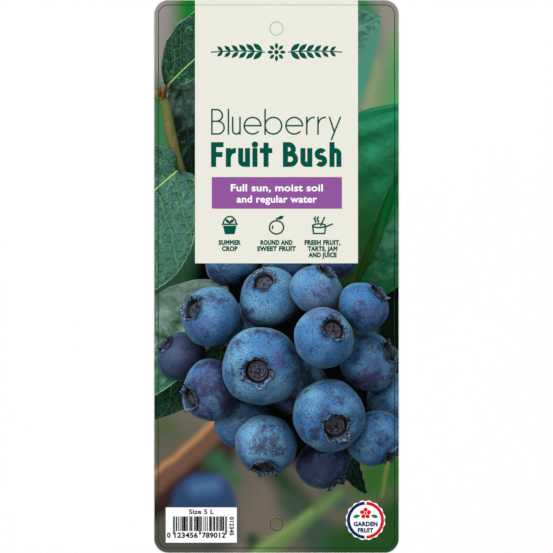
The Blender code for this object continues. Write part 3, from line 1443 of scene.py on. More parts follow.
@dataclass
class StrokeLetters:
    """Plain letters of even strokes, drawn from straight lines and arcs, for a capital height of 1."""

    stroke: float
    x_height: float
    capital_bar: float = 0.52
    crossbar: float = 0.50
    arm_radius: float = 0.27
    t_rise: float = 0.22
    tail_drop: float = 0.21
    tail_run: float = 0.40
    word_gap: float = 0.24
    dot_size: float = 0.62

    def letter(self, name: str) -> tuple[float, list[list[Point]]]:
        """Gives a letter's width and the centre lines of its strokes.

        Args:
            name: The letter.

        Returns:
            Its width and its paths.
        """
        h = self.stroke / 2
        x = self.x_height
        stem, short_stem = [(h, 0.0), (h, 1.0)], [(h, 0.0), (h, x)]
        upper, low, high, mid = 1 - h, h, x - h, self.capital_bar
        round_centre, bowl = (x / 2, x / 2), x / 2 - h
        arch_wide = 0.42 * x + 1.6 * h
        arch = arch_wide / 2 - h
        b_wide, f_wide, t_wide, y_wide = 0.50 + 1.1 * h, 0.44 + 0.6 * h, 0.30 + 2 * h, 0.50
        b_top, b_foot = (upper - mid) / 2, (mid - h) / 2
        b_head = arc((0.44 - 0.2 * h - b_top, mid + b_top), (b_top, b_top), 90, -90)
        b_belly = arc((b_wide - h - b_foot, h + b_foot), (b_foot, b_foot), 90, -90)
        s_middle, s_reach, s_rise = 0.17 + 0.8 * h, 0.17 - 0.2 * h, (high - low) / 4
        s_head = arc((s_middle, high - s_rise), (s_reach, s_rise), 35, 270)
        s_foot = arc((s_middle, low + s_rise), (s_reach, s_rise), 90, -145)
        u_bend = arc((arch_wide / 2, low + arch), (arch, arch), 180, 360)
        h_bend = arc((arch_wide / 2, high - arch), (arch, arch), 180, 0)
        r_arm = arc((0.28 + h, high - self.arm_radius), (self.arm_radius, self.arm_radius), 180, 84)
        t_stem = [(t_wide / 2, 0.0), (t_wide / 2, x + self.t_rise)]
        f_bars = [[(h, upper), (f_wide, upper)], [(h, self.crossbar), (f_wide - 0.04, self.crossbar)]]
        y_meet = 0.10
        y_foot = (y_wide - h - self.tail_run * (x + self.tail_drop), -self.tail_drop)
        y_fork = (y_wide - h - self.tail_run * (x - y_meet), y_meet)
        shapes = {
            "B": (b_wide, [stem, [(h, upper), *b_head, (h, mid)], [(h / 2, mid), *b_belly, (h, h)]]),
            "F": (f_wide, [stem, *f_bars]),
            "l": (2 * h, [stem]),
            "i": (2 * h, [short_stem]),
            "u": (arch_wide, [[(h, x), *u_bend], [(arch_wide - h, x), (arch_wide - h, 0.0)]]),
            "h": (arch_wide, [stem, [*h_bend, (arch_wide - h, 0.0)]]),
            "e": (x, [[(h, x / 2), *arc(round_centre, (bowl, bowl), 0, 318, 40)]]),
            "b": (x, [stem, arc(round_centre, (bowl, bowl), 180, -180, 48)]),
            "r": (0.30 + h, [short_stem, r_arm]),
            "t": (t_wide, [t_stem, [(0.0, high), (t_wide, high)]]),
            "s": (2 * s_middle, [[*s_head, *s_foot[1:]]]),
            "y": (y_wide, [[(y_wide - h, x), y_foot], [(h, x), y_fork]]),
            " ": (self.word_gap, []),
        }
        return shapes[name]

    def line(self, text: str, ends: Point, baseline: float, cap: float, span: Span) -> Mesh:
        """Sets a line of type that fills a width.

        Args:
            text: The words.
            ends: Where the first letter starts and the last one ends.
            baseline: Height of the letters' feet.
            cap: Height of a capital letter.
            span: Bottom and top of the print.

        Returns:
            The closed mesh of the line.
        """
        letters = [self.letter(name) for name in text]
        natural = cap * sum(width for width, _ in letters)
        gap = (ends[1] - ends[0] - natural) / (len(letters) - 1)
        radius = self.dot_size * self.stroke * cap
        paths = []
        dots = []
        start = ends[0]
        for name, (width, strokes) in zip(text, letters):
            for stroke in strokes:
                paths.append([(start + cap * x, baseline + cap * y) for x, y in stroke])
            if name == "i":
                dots.append(disc((start + cap * width / 2, baseline + cap - radius * 0.8), radius, span))
            start += cap * width + gap
        return fused(joined([ribbon(paths, self.stroke * cap, span), *dots]))


@dataclass
class Titles(SubAssembly):
    """The two title lines, a thin one over a bold one, and the leaf ornament over them."""

    slot: Slot = Slot.PANEL
    ends: Point = (-27.7, 27.5)
    ornament_y: float = 95.0
    heart_radius: float = 0.95
    petals: int = 8
    petal_reach: Point = (1.3, 4.0)
    petal_width: float = 1.45
    leaf_pairs: int = 6
    leaf_lean: float = 40.0
    first_leaf: float = 5.8
    leaf_step: float = 3.35
    leaf_rise: float = 0.3
    leaf_start: float = 0.2
    leaf_length: float = 5.3
    leaf_width: float = 2.1
    shorter_by: float = 0.38
    narrower_by: float = 0.14
    stalk_reach: Point = (4.9, 27.8)
    stalk_width: float = 0.5
    stalk_rise: float = 0.5
    stalk_steps: int = 8

    def build(self) -> None:
        """Makes both lines and the ornament."""
        span = self.sheet.span(Layer.FIRST_PRINT)
        thin = StrokeLetters(stroke=0.062, x_height=0.70)
        line = thin.line("Blueberry", self.ends, baseline=60.0, cap=11.0, span=span)
        self.add("title_thin", line, GREEN)
        bold = StrokeLetters(stroke=0.205, x_height=0.76)
        line = bold.line("Fruit Bush", self.ends, baseline=46.4, cap=10.5, span=span)
        self.add("title_bold", line, GREEN)
        self.add("leaf_ornament", self.ornament(span), GREEN)

    def ornament(self, span: Span) -> Mesh:
        """Draws a sprig to each side of a flower.

        Args:
            span: Bottom and top of the print.

        Returns:
            The mesh of the whole ornament.
        """
        middle = (0.0, self.ornament_y)
        parts = [disc(middle, self.heart_radius, span)]
        for petal in range(self.petals):
            turn = 360 * petal / self.petals
            parts.append(leaf_plate(middle, turn, self.petal_reach, self.petal_width, span))
        for side in (-1, 1):
            parts += self.sprig(side, span)
        return fused(joined(parts))

    def sprig(self, side: int, span: Span) -> list[Mesh]:
        """Draws one sprig of paired leaves that get smaller outwards, along a thin stalk.

        Args:
            side: -1 for the left, 1 for the right.
            span: Bottom and top of the print.

        Returns:
            The meshes of the stalk and its leaves.
        """
        near, far = self.stalk_reach
        shares = [step / self.stalk_steps for step in range(self.stalk_steps + 1)]
        across = [side * (near + (far - near) * share) for share in shares]
        rise = [self.ornament_y + self.stalk_rise * math.sin(math.pi * share) for share in shares]
        parts = [ribbon([list(zip(across, rise))], self.stalk_width, span)]
        for pair in range(self.leaf_pairs):
            root = (side * (self.first_leaf + self.leaf_step * pair), self.ornament_y + self.leaf_rise)
            reach = (self.leaf_start, self.leaf_length - self.shorter_by * pair)
            width = self.leaf_width - self.narrower_by * pair
            for lean in (-self.leaf_lean, self.leaf_lean):
                turn = lean if side > 0 else 180 - lean
                parts.append(leaf_plate(root, turn, reach, width, span))
        return parts


@dataclass
class Pictograms(SubAssembly):
    """Three small line drawings with captions. Each is drawn in the middle and then moved."""

    slot: Slot = Slot.PANEL
    line_width: float = 0.66
    caption_height: float = 2.15
    caption_weight: float = 0.062

    def build(self) -> None:
        """Draws each pictogram and sets its caption."""
        first, second, third = 13.3, 10.7, 8.05
        season = (("SUMMER", first, 9.4), ("CROP", second, 6.6))
        taste = (("ROUND AND", first, 13.6), ("SWEET FRUIT", second, 16.4))
        use = (("FRESH FRUIT,", first, 15.2), ("TARTS, JAM", second, 12.6), ("AND JUICE", third, 12.0))
        drawings = (
            ("pot", -19.8, self.pot, season),
            ("fruit", 0.0, self.fruit, taste),
            ("pan", 19.5, self.pan, use),
        )
        span = self.sheet.span(Layer.FIRST_PRINT)
        for name, centre, draw, caption in drawings:
            drawing = fused(joined(draw(span)))
            bmesh.ops.translate(drawing, verts=drawing.verts[:], vec=(centre, 0.0, 0.0))
            self.add(f"{name}_pictogram", drawing, GREEN)
            words = TypeBlock(caption, centre, self.caption_height, self.caption_weight)
            self.add(f"{name}_caption", words.build(span), GREEN)

    def pot(self, span: Span) -> list[Mesh]:
        """Draws a flower pot with a rim, under a round bush with two leaves in it.

        Args:
            span: Bottom and top of the print.

        Returns:
            The meshes, which overlap.
        """
        foot, shoulder, rim = 17.9, 21.5, 22.1
        body = plate([(-2.0, foot), (2.0, foot), (2.9, shoulder), (-2.9, shoulder)], span)
        bush = [(-3.4, rim), *arc((0.0, 22.2), (2.7, 3.2), 180, 0), (3.4, rim)]
        lines = [[(-3.3, rim), (3.3, rim)], [(0.0, rim), (0.0, 23.4)]]
        leaves = [leaf_plate((0.0, 22.6), turn, (0.0, 2.5), 1.3, span) for turn in (42, 138)]
        return [body, ribbon([bush], self.line_width, span), ribbon(lines, self.line_width, span), *leaves]

    def fruit(self, span: Span) -> list[Mesh]:
        """Draws a round fruit with a stalk and a leaf.

        Args:
            span: Bottom and top of the print.

        Returns:
            The meshes, which overlap.
        """
        middle = (0.0, 20.8)
        skin = ribbon([arc(middle, (3.0, 2.8), 0, 360, 40)[:-1]], self.line_width, span, closed=True)
        lines = [[(0.0, 23.4), (0.3, 25.0)], arc(middle, (1.7, 1.6), 150, 205, 8)]
        leaf = leaf_plate((0.2, 24.3), 22, (0.1, 3.2), 1.5, span)
        return [skin, ribbon(lines, self.line_width, span), leaf]

    def pan(self, span: Span) -> list[Mesh]:
        """Draws a saucepan with a spoon in it, a raised handle and steam.

        Args:
            span: Bottom and top of the print.

        Returns:
            The mesh of its lines, which overlap.
        """
        wall = [(-4.2, 21.4), (-3.8, 18.2), (0.9, 18.2), (1.3, 21.4)]
        rim = arc((-1.45, 21.5), (2.75, 0.8), 0, 360, 28)
        handle = [(1.2, 21.0), (4.4, 22.3)]
        spoon = [(-0.9, 21.3), (0.9, 25.2)]
        curl = [(0.35 * math.sin(step * 1.6), 22.9 + 0.5 * step) for step in range(6)]
        steam = [[(left + x, y) for x, y in curl] for left in (-3.2, -2.0)]
        return [ribbon([wall, rim, handle, spoon, *steam], self.line_width, span)]


# Bar patterns of the digits 0 to 9 in the left half of a striped code.
DIGIT_BARS = (
    *("0001101", "0011001", "0010011", "0111101", "0100011"),
    *("0110001", "0101111", "0111011", "0110111", "0001011"),
)


@dataclass
class StripedCode(SubAssembly):
    """The white box with stripes and counting digits that stand for no article."""

    low: Point = (-46.9, -112.7)
    high: Point = (-16.8, -97.8)
    bars_left: float = -43.8
    bars_right: float = -21.0
    bar_top: float = -101.6
    bar_foot: float = -107.8
    guard_foot: float = -109.3
    figure_foot: float = -110.7
    figure_height: float = 2.3
    side_figures: Point = (-19.9, -105.7)
    digits: str = "123456789012"
    ink_spread: float = 0.06

    def build(self) -> None:
        """Makes the box, its stripes and its figures."""
        span = self.sheet.span(Layer.FIRST_PRINT)
        self.add("white_box", block(self.low, self.high, self.sheet.span(Layer.FILM)), WHITE)
        self.add("stripes", self.stripes(span), BLACK)
        left, right = self.halves
        rows = (("0", -45.6, 1.5), (left, -38.3, 9.9), (right, -26.6, 9.9))
        figures = [
            TypeLine(text, middle, self.figure_foot, width, self.figure_height).build(span)
            for text, middle, width in rows
        ]
        size = TypeLine("Size 5 L", centre=-31.8, baseline=-100.6, width=10.6, cap_height=2.05, weight=0.03)
        sideways = TypeLine("012345", centre=0.0, baseline=0.0, width=7.9, cap_height=1.9).build(span)
        quarter_turn = Matrix.Rotation(math.radians(-90), 4, "Z")
        sideways.transform(Matrix.Translation((*self.side_figures, 0.0)) @ quarter_turn)
        self.add("figures", joined([*figures, size.build(span), sideways]), BLACK)

    def stripes(self, span: Span) -> Mesh:
        """Draws the stripes from the digits' patterns, with taller guards at the ends and in the middle.

        Args:
            span: Bottom and top of the print.

        Returns:
            The closed mesh of all the stripes.
        """
        left, right = ("".join(DIGIT_BARS[int(digit)] for digit in half) for half in self.halves)
        swapped = right.translate(str.maketrans("01", "10"))
        end, middle = ("101", self.guard_foot), ("01010", self.guard_foot)
        runs = (end, (left, self.bar_foot), middle, (swapped, self.bar_foot), end)
        modules = [(module, foot) for pattern, foot in runs for module in pattern]
        step = (self.bars_right - self.bars_left) / len(modules)
        bars = []
        for index, (module, foot) in enumerate(modules):
            if module == "1":
                start = self.bars_left + index * step
                low = (start - self.ink_spread, foot)
                bars.append(block(low, (start + step + self.ink_spread, self.bar_top), span))
        return fused(joined(bars))

    @property
    def halves(self) -> tuple[str, str]:
        """The digits of the left and of the right half."""
        return self.digits[:6], self.digits[6:]


@dataclass
class Seal(SubAssembly):
    """A white seal with a navy and red ring, a red blossom and two plain words."""

    centre: Point = (37.7, -103.2)
    radius: float = 8.5
    scallops: int = 16
    scallop_depth: float = 0.45
    scallop_steps: int = 8
    ring_inset: float = 1.3
    ring_width: float = 1.3
    ring_gap: float = 3.0
    heart_radius: float = 0.55
    petals: int = 5
    petal_reach: float = 1.55
    petal_radius: float = 0.86
    type_height: float = 2.0
    type_weight: float = 0.06

    def build(self) -> None:
        """Makes the seal and what is printed on it."""
        x, y = self.centre
        span = self.sheet.span(Layer.FIRST_PRINT)
        self.add("seal", plate(self.edge(), self.sheet.span(Layer.FILM)), WHITE)
        ring = (self.radius - self.ring_inset, self.radius - self.ring_inset)
        for side, start, finish in (("left", 90, NAVY), ("right", -90, RED)):
            half = arc(self.centre, ring, start + self.ring_gap, start + 180 - self.ring_gap, 40)
            self.add(f"seal_ring_{side}", ribbon([half], self.ring_width, span), finish)
        self.add("seal_blossom", self.blossom((x, y + 2.9), span), RED)
        leaves = [leaf_plate((x, y + 2.6), turn, (2.3, 5.6), 1.5, span) for turn in (-14, 194)]
        self.add("seal_leaves", joined(leaves), SEAL_GREEN)
        lines = (("GARDEN", y - 2.6, 10.2), ("FRUIT", y - 5.3, 6.6))
        words = TypeBlock(lines, x, self.type_height, self.type_weight)
        self.add("seal_words", words.build(span), NAVY)

    def edge(self) -> list[Point]:
        """Draws the scalloped outline.

        Returns:
            Its points.
        """
        steps = self.scallops * self.scallop_steps
        outline = []
        for step in range(steps):
            angle = math.tau * step / steps
            reach = self.radius - self.scallop_depth * (0.5 + 0.5 * math.cos(self.scallops * angle))
            across, up = reach * math.cos(angle), reach * math.sin(angle)
            outline.append((self.centre[0] + across, self.centre[1] + up))
        return outline

    def blossom(self, centre: Point, span: Span) -> Mesh:
        """Draws round petals about a disc.

        Args:
            centre: Its middle.
            span: Bottom and top of the print.

        Returns:
            The mesh of disc and petals.
        """
        parts = [disc(centre, self.heart_radius, span)]
        for petal in range(self.petals):
            turn = math.tau * (petal / self.petals + 0.25)
            across, up = self.petal_reach * math.cos(turn), self.petal_reach * math.sin(turn)
            parts.append(disc((centre[0] + across, centre[1] + up), self.petal_radius, span, steps=24))
        return joined(parts)


@dataclass
class Daylight:
    """Soft sky light on the still life, brightest from up and to the left."""

    brightest: Vector
    rays: int = 52
    reach: float = 140.0
    sky_depth: float = 1.2
    floor_light: float = 0.12
    wrap: float = 0.2
    lowest_facing: float = -0.15
    hidden: Colour = (0.02, 0.0, 0.0, 1.0)
    skin_gap: float = 0.12
    gloss: int = 10
    shine_gain: float = 11.0
    straight_shine: float = 0.35

    def sky(self) -> list[tuple[Vector, float]]:
        """Gives directions to the sky.

        Returns:
            Evenly spread directions and how bright each is.
        """
        found = []
        for index in range(self.rays):
            z = 1 - (index + 0.5) / self.rays * self.sky_depth
            side = math.sqrt(1 - z * z)
            turn = index * GOLDEN_ANGLE
            direction = Vector((side * math.cos(turn), side * math.sin(turn), z))
            toward = max(0.0, (direction.dot(self.brightest) + self.wrap) / (1 + self.wrap))
            found.append((direction, self.floor_light + (1 - self.floor_light) * toward**2))
        return found

    def paint(self, motifs: Sequence[Mesh]) -> None:
        """Works out light, shine and facing at each point and stores them on the motifs.

        Args:
            motifs: The meshes, in mm, before they are pressed flat.
        """
        tree = BVHTree.FromBMesh(joined([motif.copy() for motif in motifs]))
        sky = self.sky()
        full = sum(bright * max(0.0, way.dot(self.brightest)) for way, bright in sky)
        for motif in motifs:
            motif.normal_update()
            layer = motif.verts.layers.float_color.new("painted_light")
            for vertex in motif.verts:
                vertex[layer] = self.point_light(tree, sky, full, vertex)

    def point_light(
        self, tree: BVHTree, sky: Sequence[tuple[Vector, float]], full: float, vertex: bmesh.types.BMVert
    ) -> Colour:
        """Works out one point's light.

        Args:
            tree: The whole still life, to test what hides the sky.
            sky: Directions and brightness.
            full: Light on a point that faces the brightest sky with nothing in the way.
            vertex: The point.

        Returns:
            Light, shine and how much the point faces the viewer, as one colour.
        """
        normal = vertex.normal
        if normal.z < self.lowest_facing:
            return self.hidden
        origin = vertex.co + normal * self.skin_gap
        mirror = 2 * normal.z * normal - UP
        light = 0.0
        shine = 0.0
        for way, bright in sky:
            slope = normal.dot(way)
            if slope <= 0.0 or tree.ray_cast(origin, way, self.reach)[0] is not None:
                continue
            light += bright * slope
            shine += bright * max(0.0, mirror.dot(way)) ** self.gloss
        facing = max(0.0, normal.z)
        glancing = self.straight_shine + (1 - self.straight_shine) * (1 - facing) ** 2
        return (light / full, glancing * shine * self.shine_gain / self.rays, facing, 1.0)


class Row(Enum):
    """How near to the viewer a berry lies in the heap."""

    BACK = 0
    MIDDLE = 1
    FRONT = 2


@dataclass(frozen=True)
class Berry:
    """One blueberry: its row, where it lies, how big it is, and where its crown points."""

    row: Row
    place: Point
    radius: float
    facing: Place
    dust: float
    flatness: float = 0.86
    steps: int = 90
    body_steps: int = 34
    crown_lobes: int = 5
    crown_size: float = 0.9

    # Radius, height and zone of the crown's outline on a berry of radius 1, from the skin inwards.
    CROWN = (
        (0.385, 0.800, 0.2),
        (0.388, 0.840, 0.8),
        (0.410, 0.895, 1.0),
        (0.428, 0.940, 1.0),
        (0.405, 0.925, 1.05),
        (0.370, 0.860, 1.15),
        (0.350, 0.790, 1.4),
        (0.332, 0.720, 1.7),
        (0.295, 0.672, 1.85),
        (0.240, 0.662, 2.0),
        (0.205, 0.680, 2.0),
        (0.175, 0.664, 2.0),
        (0.120, 0.655, 2.0),
        (0.075, 0.662, 2.0),
        (0.052, 0.692, 2.0),
        (0.025, 0.700, 2.0),
        (0.000, 0.700, 2.0),
    )
    CROWN_EDGE = 0.42
    CROWN_SINK = 0.012
    SHOULDER_HEIGHT, SHOULDER_RADIUS, SHOULDER_SPREAD = 0.022, 0.56, 0.10
    FIRST_LOBE_ZONE, LAST_LOBE_ZONE = 0.5, 1.65
    LOWEST_RISE, EVEN_RISE, LOBE_RISE = 0.12, 0.22, 0.62
    LOBE_FLARE, LEAN_FLARE, LOBE_HEIGHT = 0.22, 0.55, 0.16
    SLOW_DENT, FAST_DENT = 0.10, 0.03

    def outline(self) -> list[Place]:
        """Draws half of the berry's outline, from the stalk's end to the middle of the crown.

        Returns:
            Radius, height and zone of each point.
        """
        span = math.pi - self.CROWN_EDGE
        angles = [math.pi - span * step / self.body_steps for step in range(self.body_steps + 1)]
        body = []
        for angle in angles:
            radius = math.sin(angle) ** 0.96
            off = (radius - self.SHOULDER_RADIUS) / self.SHOULDER_SPREAD
            shoulder = self.SHOULDER_HEIGHT * math.exp(-(off**2)) if angle < 1.2 else 0.0
            body.append((radius, self.flatness * math.cos(angle) + shoulder, 0.0))
        body[0] = (0.0, -self.flatness * 0.97, 0.0)
        lift = self.flatness * math.cos(self.CROWN_EDGE) - self.CROWN[0][1] + self.CROWN_SINK
        crown = [(radius * self.crown_size, up + lift, zone) for radius, up, zone in self.CROWN]
        return body + crown

    def build(self, height: float, seed: int) -> Mesh:
        """Spins the outline, shapes the crown's lobes and puts the berry in its place.

        Args:
            height: How high its middle lies in the heap.
            seed: Number that makes its dents and lobes its own.

        Returns:
            The closed berry in mm.
        """
        made = bmesh.new()
        zone = made.verts.layers.float.new("skin_zone")
        corners = []
        for radius, up, part in self.outline():
            corner = made.verts.new((radius, 0.0, up))
            corner[zone] = part
            corners.append(corner)
        edges = [made.edges.new(pair) for pair in zip(corners, corners[1:])]
        bmesh.ops.spin(
            made,
            geom=corners + edges,
            cent=(0, 0, 0),
            axis=UP,
            angle=math.tau,
            steps=self.steps,
            use_merge=True,
        )
        bmesh.ops.remove_doubles(made, verts=made.verts[:], dist=MERGE_DISTANCE)
        self.shape_crown(made, zone, seed)
        self.dent(made, seed)
        place = made.verts.layers.float_vector.new("skin_place")
        dust = made.verts.layers.float.new("dust")
        for vertex in made.verts:
            vertex[place] = vertex.co * self.radius + Vector((0.0, 0.0, 61.0 * seed))
            vertex[dust] = self.dust
        turn = Vector(self.facing).to_track_quat("Z", "Y") @ Quaternion(UP, 1.7 * seed)
        placed = Matrix.Translation((*self.place, height)) @ turn.to_matrix().to_4x4()
        made.transform(placed @ Matrix.Scale(self.radius, 4))
        bmesh.ops.recalc_face_normals(made, faces=made.faces[:])
        if made.calc_volume(signed=True) < 0:
            bmesh.ops.reverse_faces(made, faces=made.faces[:])
        return made

    def shape_crown(self, made: Mesh, zone: bmesh.types.BMLayerItem, seed: int) -> None:
        """Cuts the crown's rim into uneven lobes that lean outwards.

        Args:
            made: The spun berry, of radius 1.
            zone: The layer that tells skin, lobes and floor apart.
            seed: The berry's number.
        """
        foot = self.flatness * math.cos(self.CROWN_EDGE)
        for vertex in made.verts:
            if not self.FIRST_LOBE_ZONE < vertex[zone] < self.LAST_LOBE_ZONE:
                continue
            turn = math.atan2(vertex.co.y, vertex.co.x)
            way = Vector((math.cos(turn), math.sin(turn), 0.0))
            uneven = 0.5 * noise.noise(way * 1.3 + UP * seed)
            share = (self.crown_lobes * turn / math.tau + uneven) % 1.0
            broken = 0.5 + 0.9 * noise.noise(way * 1.1 + UP * (3.7 * seed))
            ragged = noise.noise(way * 5.0 + UP * (1.9 * seed))
            peak = (1 - abs(2 * share - 1)) ** 0.8 * (0.75 + broken) + 0.3 * ragged
            lean = noise.noise(way * 1.6 + UP * (9.1 * seed))
            rise = vertex.co.z - foot
            vertex.co.z = foot + rise * max(self.LOWEST_RISE, self.EVEN_RISE + self.LOBE_RISE * peak)
            spread = self.LOBE_FLARE * peak + self.LEAN_FLARE * lean
            flare = 1 + spread * max(0.0, rise) / self.LOBE_HEIGHT
            vertex.co.x *= flare
            vertex.co.y *= flare

    def dent(self, made: Mesh, seed: int) -> None:
        """Gives the skin slow, shallow unevenness.

        Args:
            made: The berry, of radius 1.
            seed: The berry's number.
        """
        own = Vector((7.1 * seed, 0.0, 0.0))
        for vertex in made.verts:
            slow = self.SLOW_DENT * noise.noise(vertex.co * 0.8 + own)
            fast = self.FAST_DENT * noise.noise(vertex.co * 2.3 + own)
            vertex.co *= 1 + slow + fast


@dataclass(frozen=True)
class Leaf:
    """One leaf: where its stalk and tip are, how wide it is, and how it bends."""

    name: str
    foot: Place
    tip: Place
    half_width: float
    finish: LeafPrint
    roll: float = 0.0
    fold: float = 0.22
    curl: float = 4.0
    side_veins: float = 7.0
    pucker: float = 0.5
    shoulder: float = 0.0
    lean_to_foot: float = 0.86
    roundness: float = 0.72
    tooth: float = 0.014
    vein_lean: float = 0.9
    vein_bow: float = 0.7
    vein_offset: float = 0.2
    margin_wave: float = 0.05
    thickness: float = 0.3
    along_steps: int = 96
    across_steps: int = 28

    def build(self) -> Mesh:
        """Bends a grid into the blade and puts it in its place.

        Returns:
            The closed leaf in mm.
        """
        made = bmesh.new()
        bmesh.ops.create_grid(made, x_segments=self.along_steps, y_segments=self.across_steps, size=1.0)
        share = made.verts.layers.float_vector.new("blade_share")
        place = made.verts.layers.float_vector.new("blade_place")
        foot, tip = Vector(self.foot), Vector(self.tip)
        length = (tip - foot).length
        for vertex in made.verts:
            along, across = (vertex.co.x + 1) / 2, vertex.co.y
            width = self.width_at(along)
            wave = self.vein_wave(along, across)
            vertex[share] = (along, across, wave + 10)
            vertex[place] = (along * length, across * width, 0.0)
            back = self.shoulder * across**2 * min(1.0, 70 * along) * (1 - along) ** 3
            vertex.co = (along * length - back, across * width, self.lift(along, across, width, wave))
        bmesh.ops.remove_doubles(made, verts=made.verts[:], dist=MERGE_DISTANCE)
        bmesh.ops.recalc_face_normals(made, faces=made.faces[:])
        if sum(face.normal.z for face in made.faces) < 0:
            bmesh.ops.reverse_faces(made, faces=made.faces[:])
        bmesh.ops.solidify(made, geom=made.faces[:], thickness=self.thickness)
        line = (tip - foot).normalized()
        side = UP.cross(line).normalized()
        turned = Matrix((line, side, line.cross(side))).transposed().to_4x4()
        rolled = Matrix.Rotation(math.radians(self.roll), 4, "X")
        made.transform(Matrix.Translation(foot) @ turned @ rolled)
        return made

    def width_at(self, along: float) -> float:
        """Gives half the blade's width, with small teeth on the margin.

        Args:
            along: Share of the way from stalk to tip.

        Returns:
            The width in mm.
        """
        body = math.sin(math.pi * along**self.lean_to_foot) if 0 < along < 1 else 0.0
        teeth = self.tooth * (self.along_steps / 4 * along % 1.0)
        return self.half_width * (max(body, 0.0) ** self.roundness + 0.001) * (1 + teeth)

    def vein_wave(self, along: float, across: float) -> float:
        """Counts the side veins, which run forward from the midrib and alternate left and right."""
        wave = self.side_veins * along - self.vein_lean * abs(across) - self.vein_bow * across**2
        return wave + (self.vein_offset if across > 0 else 0.0)

    def lift(self, along: float, across: float, width: float, wave: float) -> float:
        """Bends the blade: a fold at the midrib, a curl along it, pillows between veins, a wavy margin.

        Args:
            along: Share of the way from stalk to tip.
            across: Share of the way from the midrib to the margin, negative on the right.
            width: Half the blade's width there.
            wave: The count of side veins.

        Returns:
            How far the blade stands up there, in mm.
        """
        lift = self.fold * abs(across) * width - self.curl * (2 * along - 1) ** 2
        lift += self.pucker * min(1.0, 3 * abs(across)) * (1 - along**4) * math.cos(math.tau * wave)
        return lift + self.margin_wave * self.half_width * math.sin(9 * along + across) * across**2


@dataclass(frozen=True)
class Twig:
    """One twig, along a few points that its line is drawn towards."""

    name: str
    points: tuple[Place, ...]
    radii: tuple[float, ...]
    finish: TwigPrint

    def build(self) -> Mesh:
        """Makes a round tube that changes its thickness.

        Returns:
            The closed tube in mm.
        """
        curve = bpy.data.curves.new("twig", "CURVE")
        curve.dimensions = "3D"
        curve.bevel_depth = 1.0
        curve.bevel_resolution = 5
        curve.use_fill_caps = True
        spline = curve.splines.new("NURBS")
        spline.points.add(len(self.points) - 1)
        for point, place, radius in zip(spline.points, self.points, self.radii):
            point.co = (*place, 1.0)
            point.radius = radius
        spline.order_u = 3
        spline.use_endpoint_u = True
        spline.resolution_u = 12
        return mesh_of(curve)


BERRIES = (
    Berry(Row.BACK, (-19, 7), 11.8, (-0.5, 0.7, -0.3), 0.50),
    Berry(Row.BACK, (4, 9), 11.6, (0.1, 0.9, -0.3), 0.54),
    Berry(Row.BACK, (24, 9), 11.0, (0.3, 0.9, -0.2), 0.55),
    Berry(Row.BACK, (-40, -34), 11.0, (-0.75, 0.5, 0.25), 0.34),
    Berry(Row.BACK, (9, -46), 12.6, (0.0, 0.2, -1.0), 0.52),
    Berry(Row.BACK, (-14, -62), 12.0, (-0.2, -0.4, -0.9), 0.53),
    Berry(Row.BACK, (20, -79), 11.8, (0.55, -0.75, 0.1), 0.44),
    Berry(Row.BACK, (49, -52), 11.6, (0.9, -0.1, -0.3), 0.55),
    Berry(Row.BACK, (-13, -22), 11.0, (0.0, 0.0, -1.0), 0.50),
    Berry(Row.MIDDLE, (-28, -17), 13.0, (-0.72, 0.30, 0.58), 0.54),
    Berry(Row.MIDDLE, (-3, -9), 12.9, (-0.25, 0.66, 0.68), 0.56),
    Berry(Row.MIDDLE, (17, -6), 11.6, (0.45, 0.80, 0.25), 0.55),
    Berry(Row.MIDDLE, (-28, -48), 13.0, (-0.80, -0.30, 0.48), 0.46),
    Berry(Row.MIDDLE, (39, -36), 13.2, (0.80, 0.42, 0.42), 0.53),
    Berry(Row.MIDDLE, (37, -13), 11.2, (0.62, 0.68, 0.30), 0.54),
    Berry(Row.MIDDLE, (42, -68), 12.4, (0.70, -0.62, 0.30), 0.51),
    Berry(Row.FRONT, (-6, -38), 16.8, (-0.16, -0.16, 0.97), 0.55, crown_size=0.8),
    Berry(Row.FRONT, (22, -59), 15.6, (0.24, -0.36, 0.88), 0.54),
    Berry(Row.FRONT, (20, -26), 13.2, (0.42, 0.36, 0.82), 0.55),
    Berry(Row.FRONT, (-4, -71), 13.8, (-0.12, -0.84, 0.46), 0.53),
)

LEAVES = (
    Leaf("leaf_right_high", (62, 74, -30), (26, -16, -32), 27.7, BRIGHT_LEAF, 41, 0.83, 4.0, 4.0, 1.1),
    Leaf("leaf_right_low", (72, 46, -36), (32, -14, -36), 14.5, LOW_LEAF, curl=1.0, pucker=0.2),
    Leaf("leaf_right_top", (12, 94, -26), (44, 110, -24), 11, SILVER_LEAF, roll=-14, curl=1.0, pucker=0.1),
    Leaf("leaf_left_under", (-16, -18, -34), (-66, -62, -34), 15, DARK_LEAF, curl=2.0, pucker=0.2),
    Leaf("leaf_left_low", (-22, -2, -14), (-72, -58, -8), 17, GREY_LEAF, roll=16, fold=0.5, pucker=0.3),
    Leaf("leaf_left_top", (-47.6, 82.2, -6), (-8, 113, -12), 14, DARK_LEAF, -32, 0.6, side_veins=6.0),
    Leaf("leaf_left_shade", (-41, 90, -24), (-34, 30, -24), 8.5, SHADED_LEAF, curl=2.0, pucker=0.2),
    Leaf("leaf_left_back", (-38, 45, -22), (-72, 53, -22), 6, SHADED_LEAF, roll=10, curl=2.0, pucker=0.2),
    Leaf("leaf_left_big", (-42.6, 44.9, -4), (-98, -4.4, -8), 34, DEEP_LEAF, roll=8, curl=3.0, shoulder=6.5),
    Leaf("leaf_right_foot", (27, -68, -30), (37, -92, -26), 5, SHADED_LEAF, roll=30, fold=0.5, curl=2.0),
)

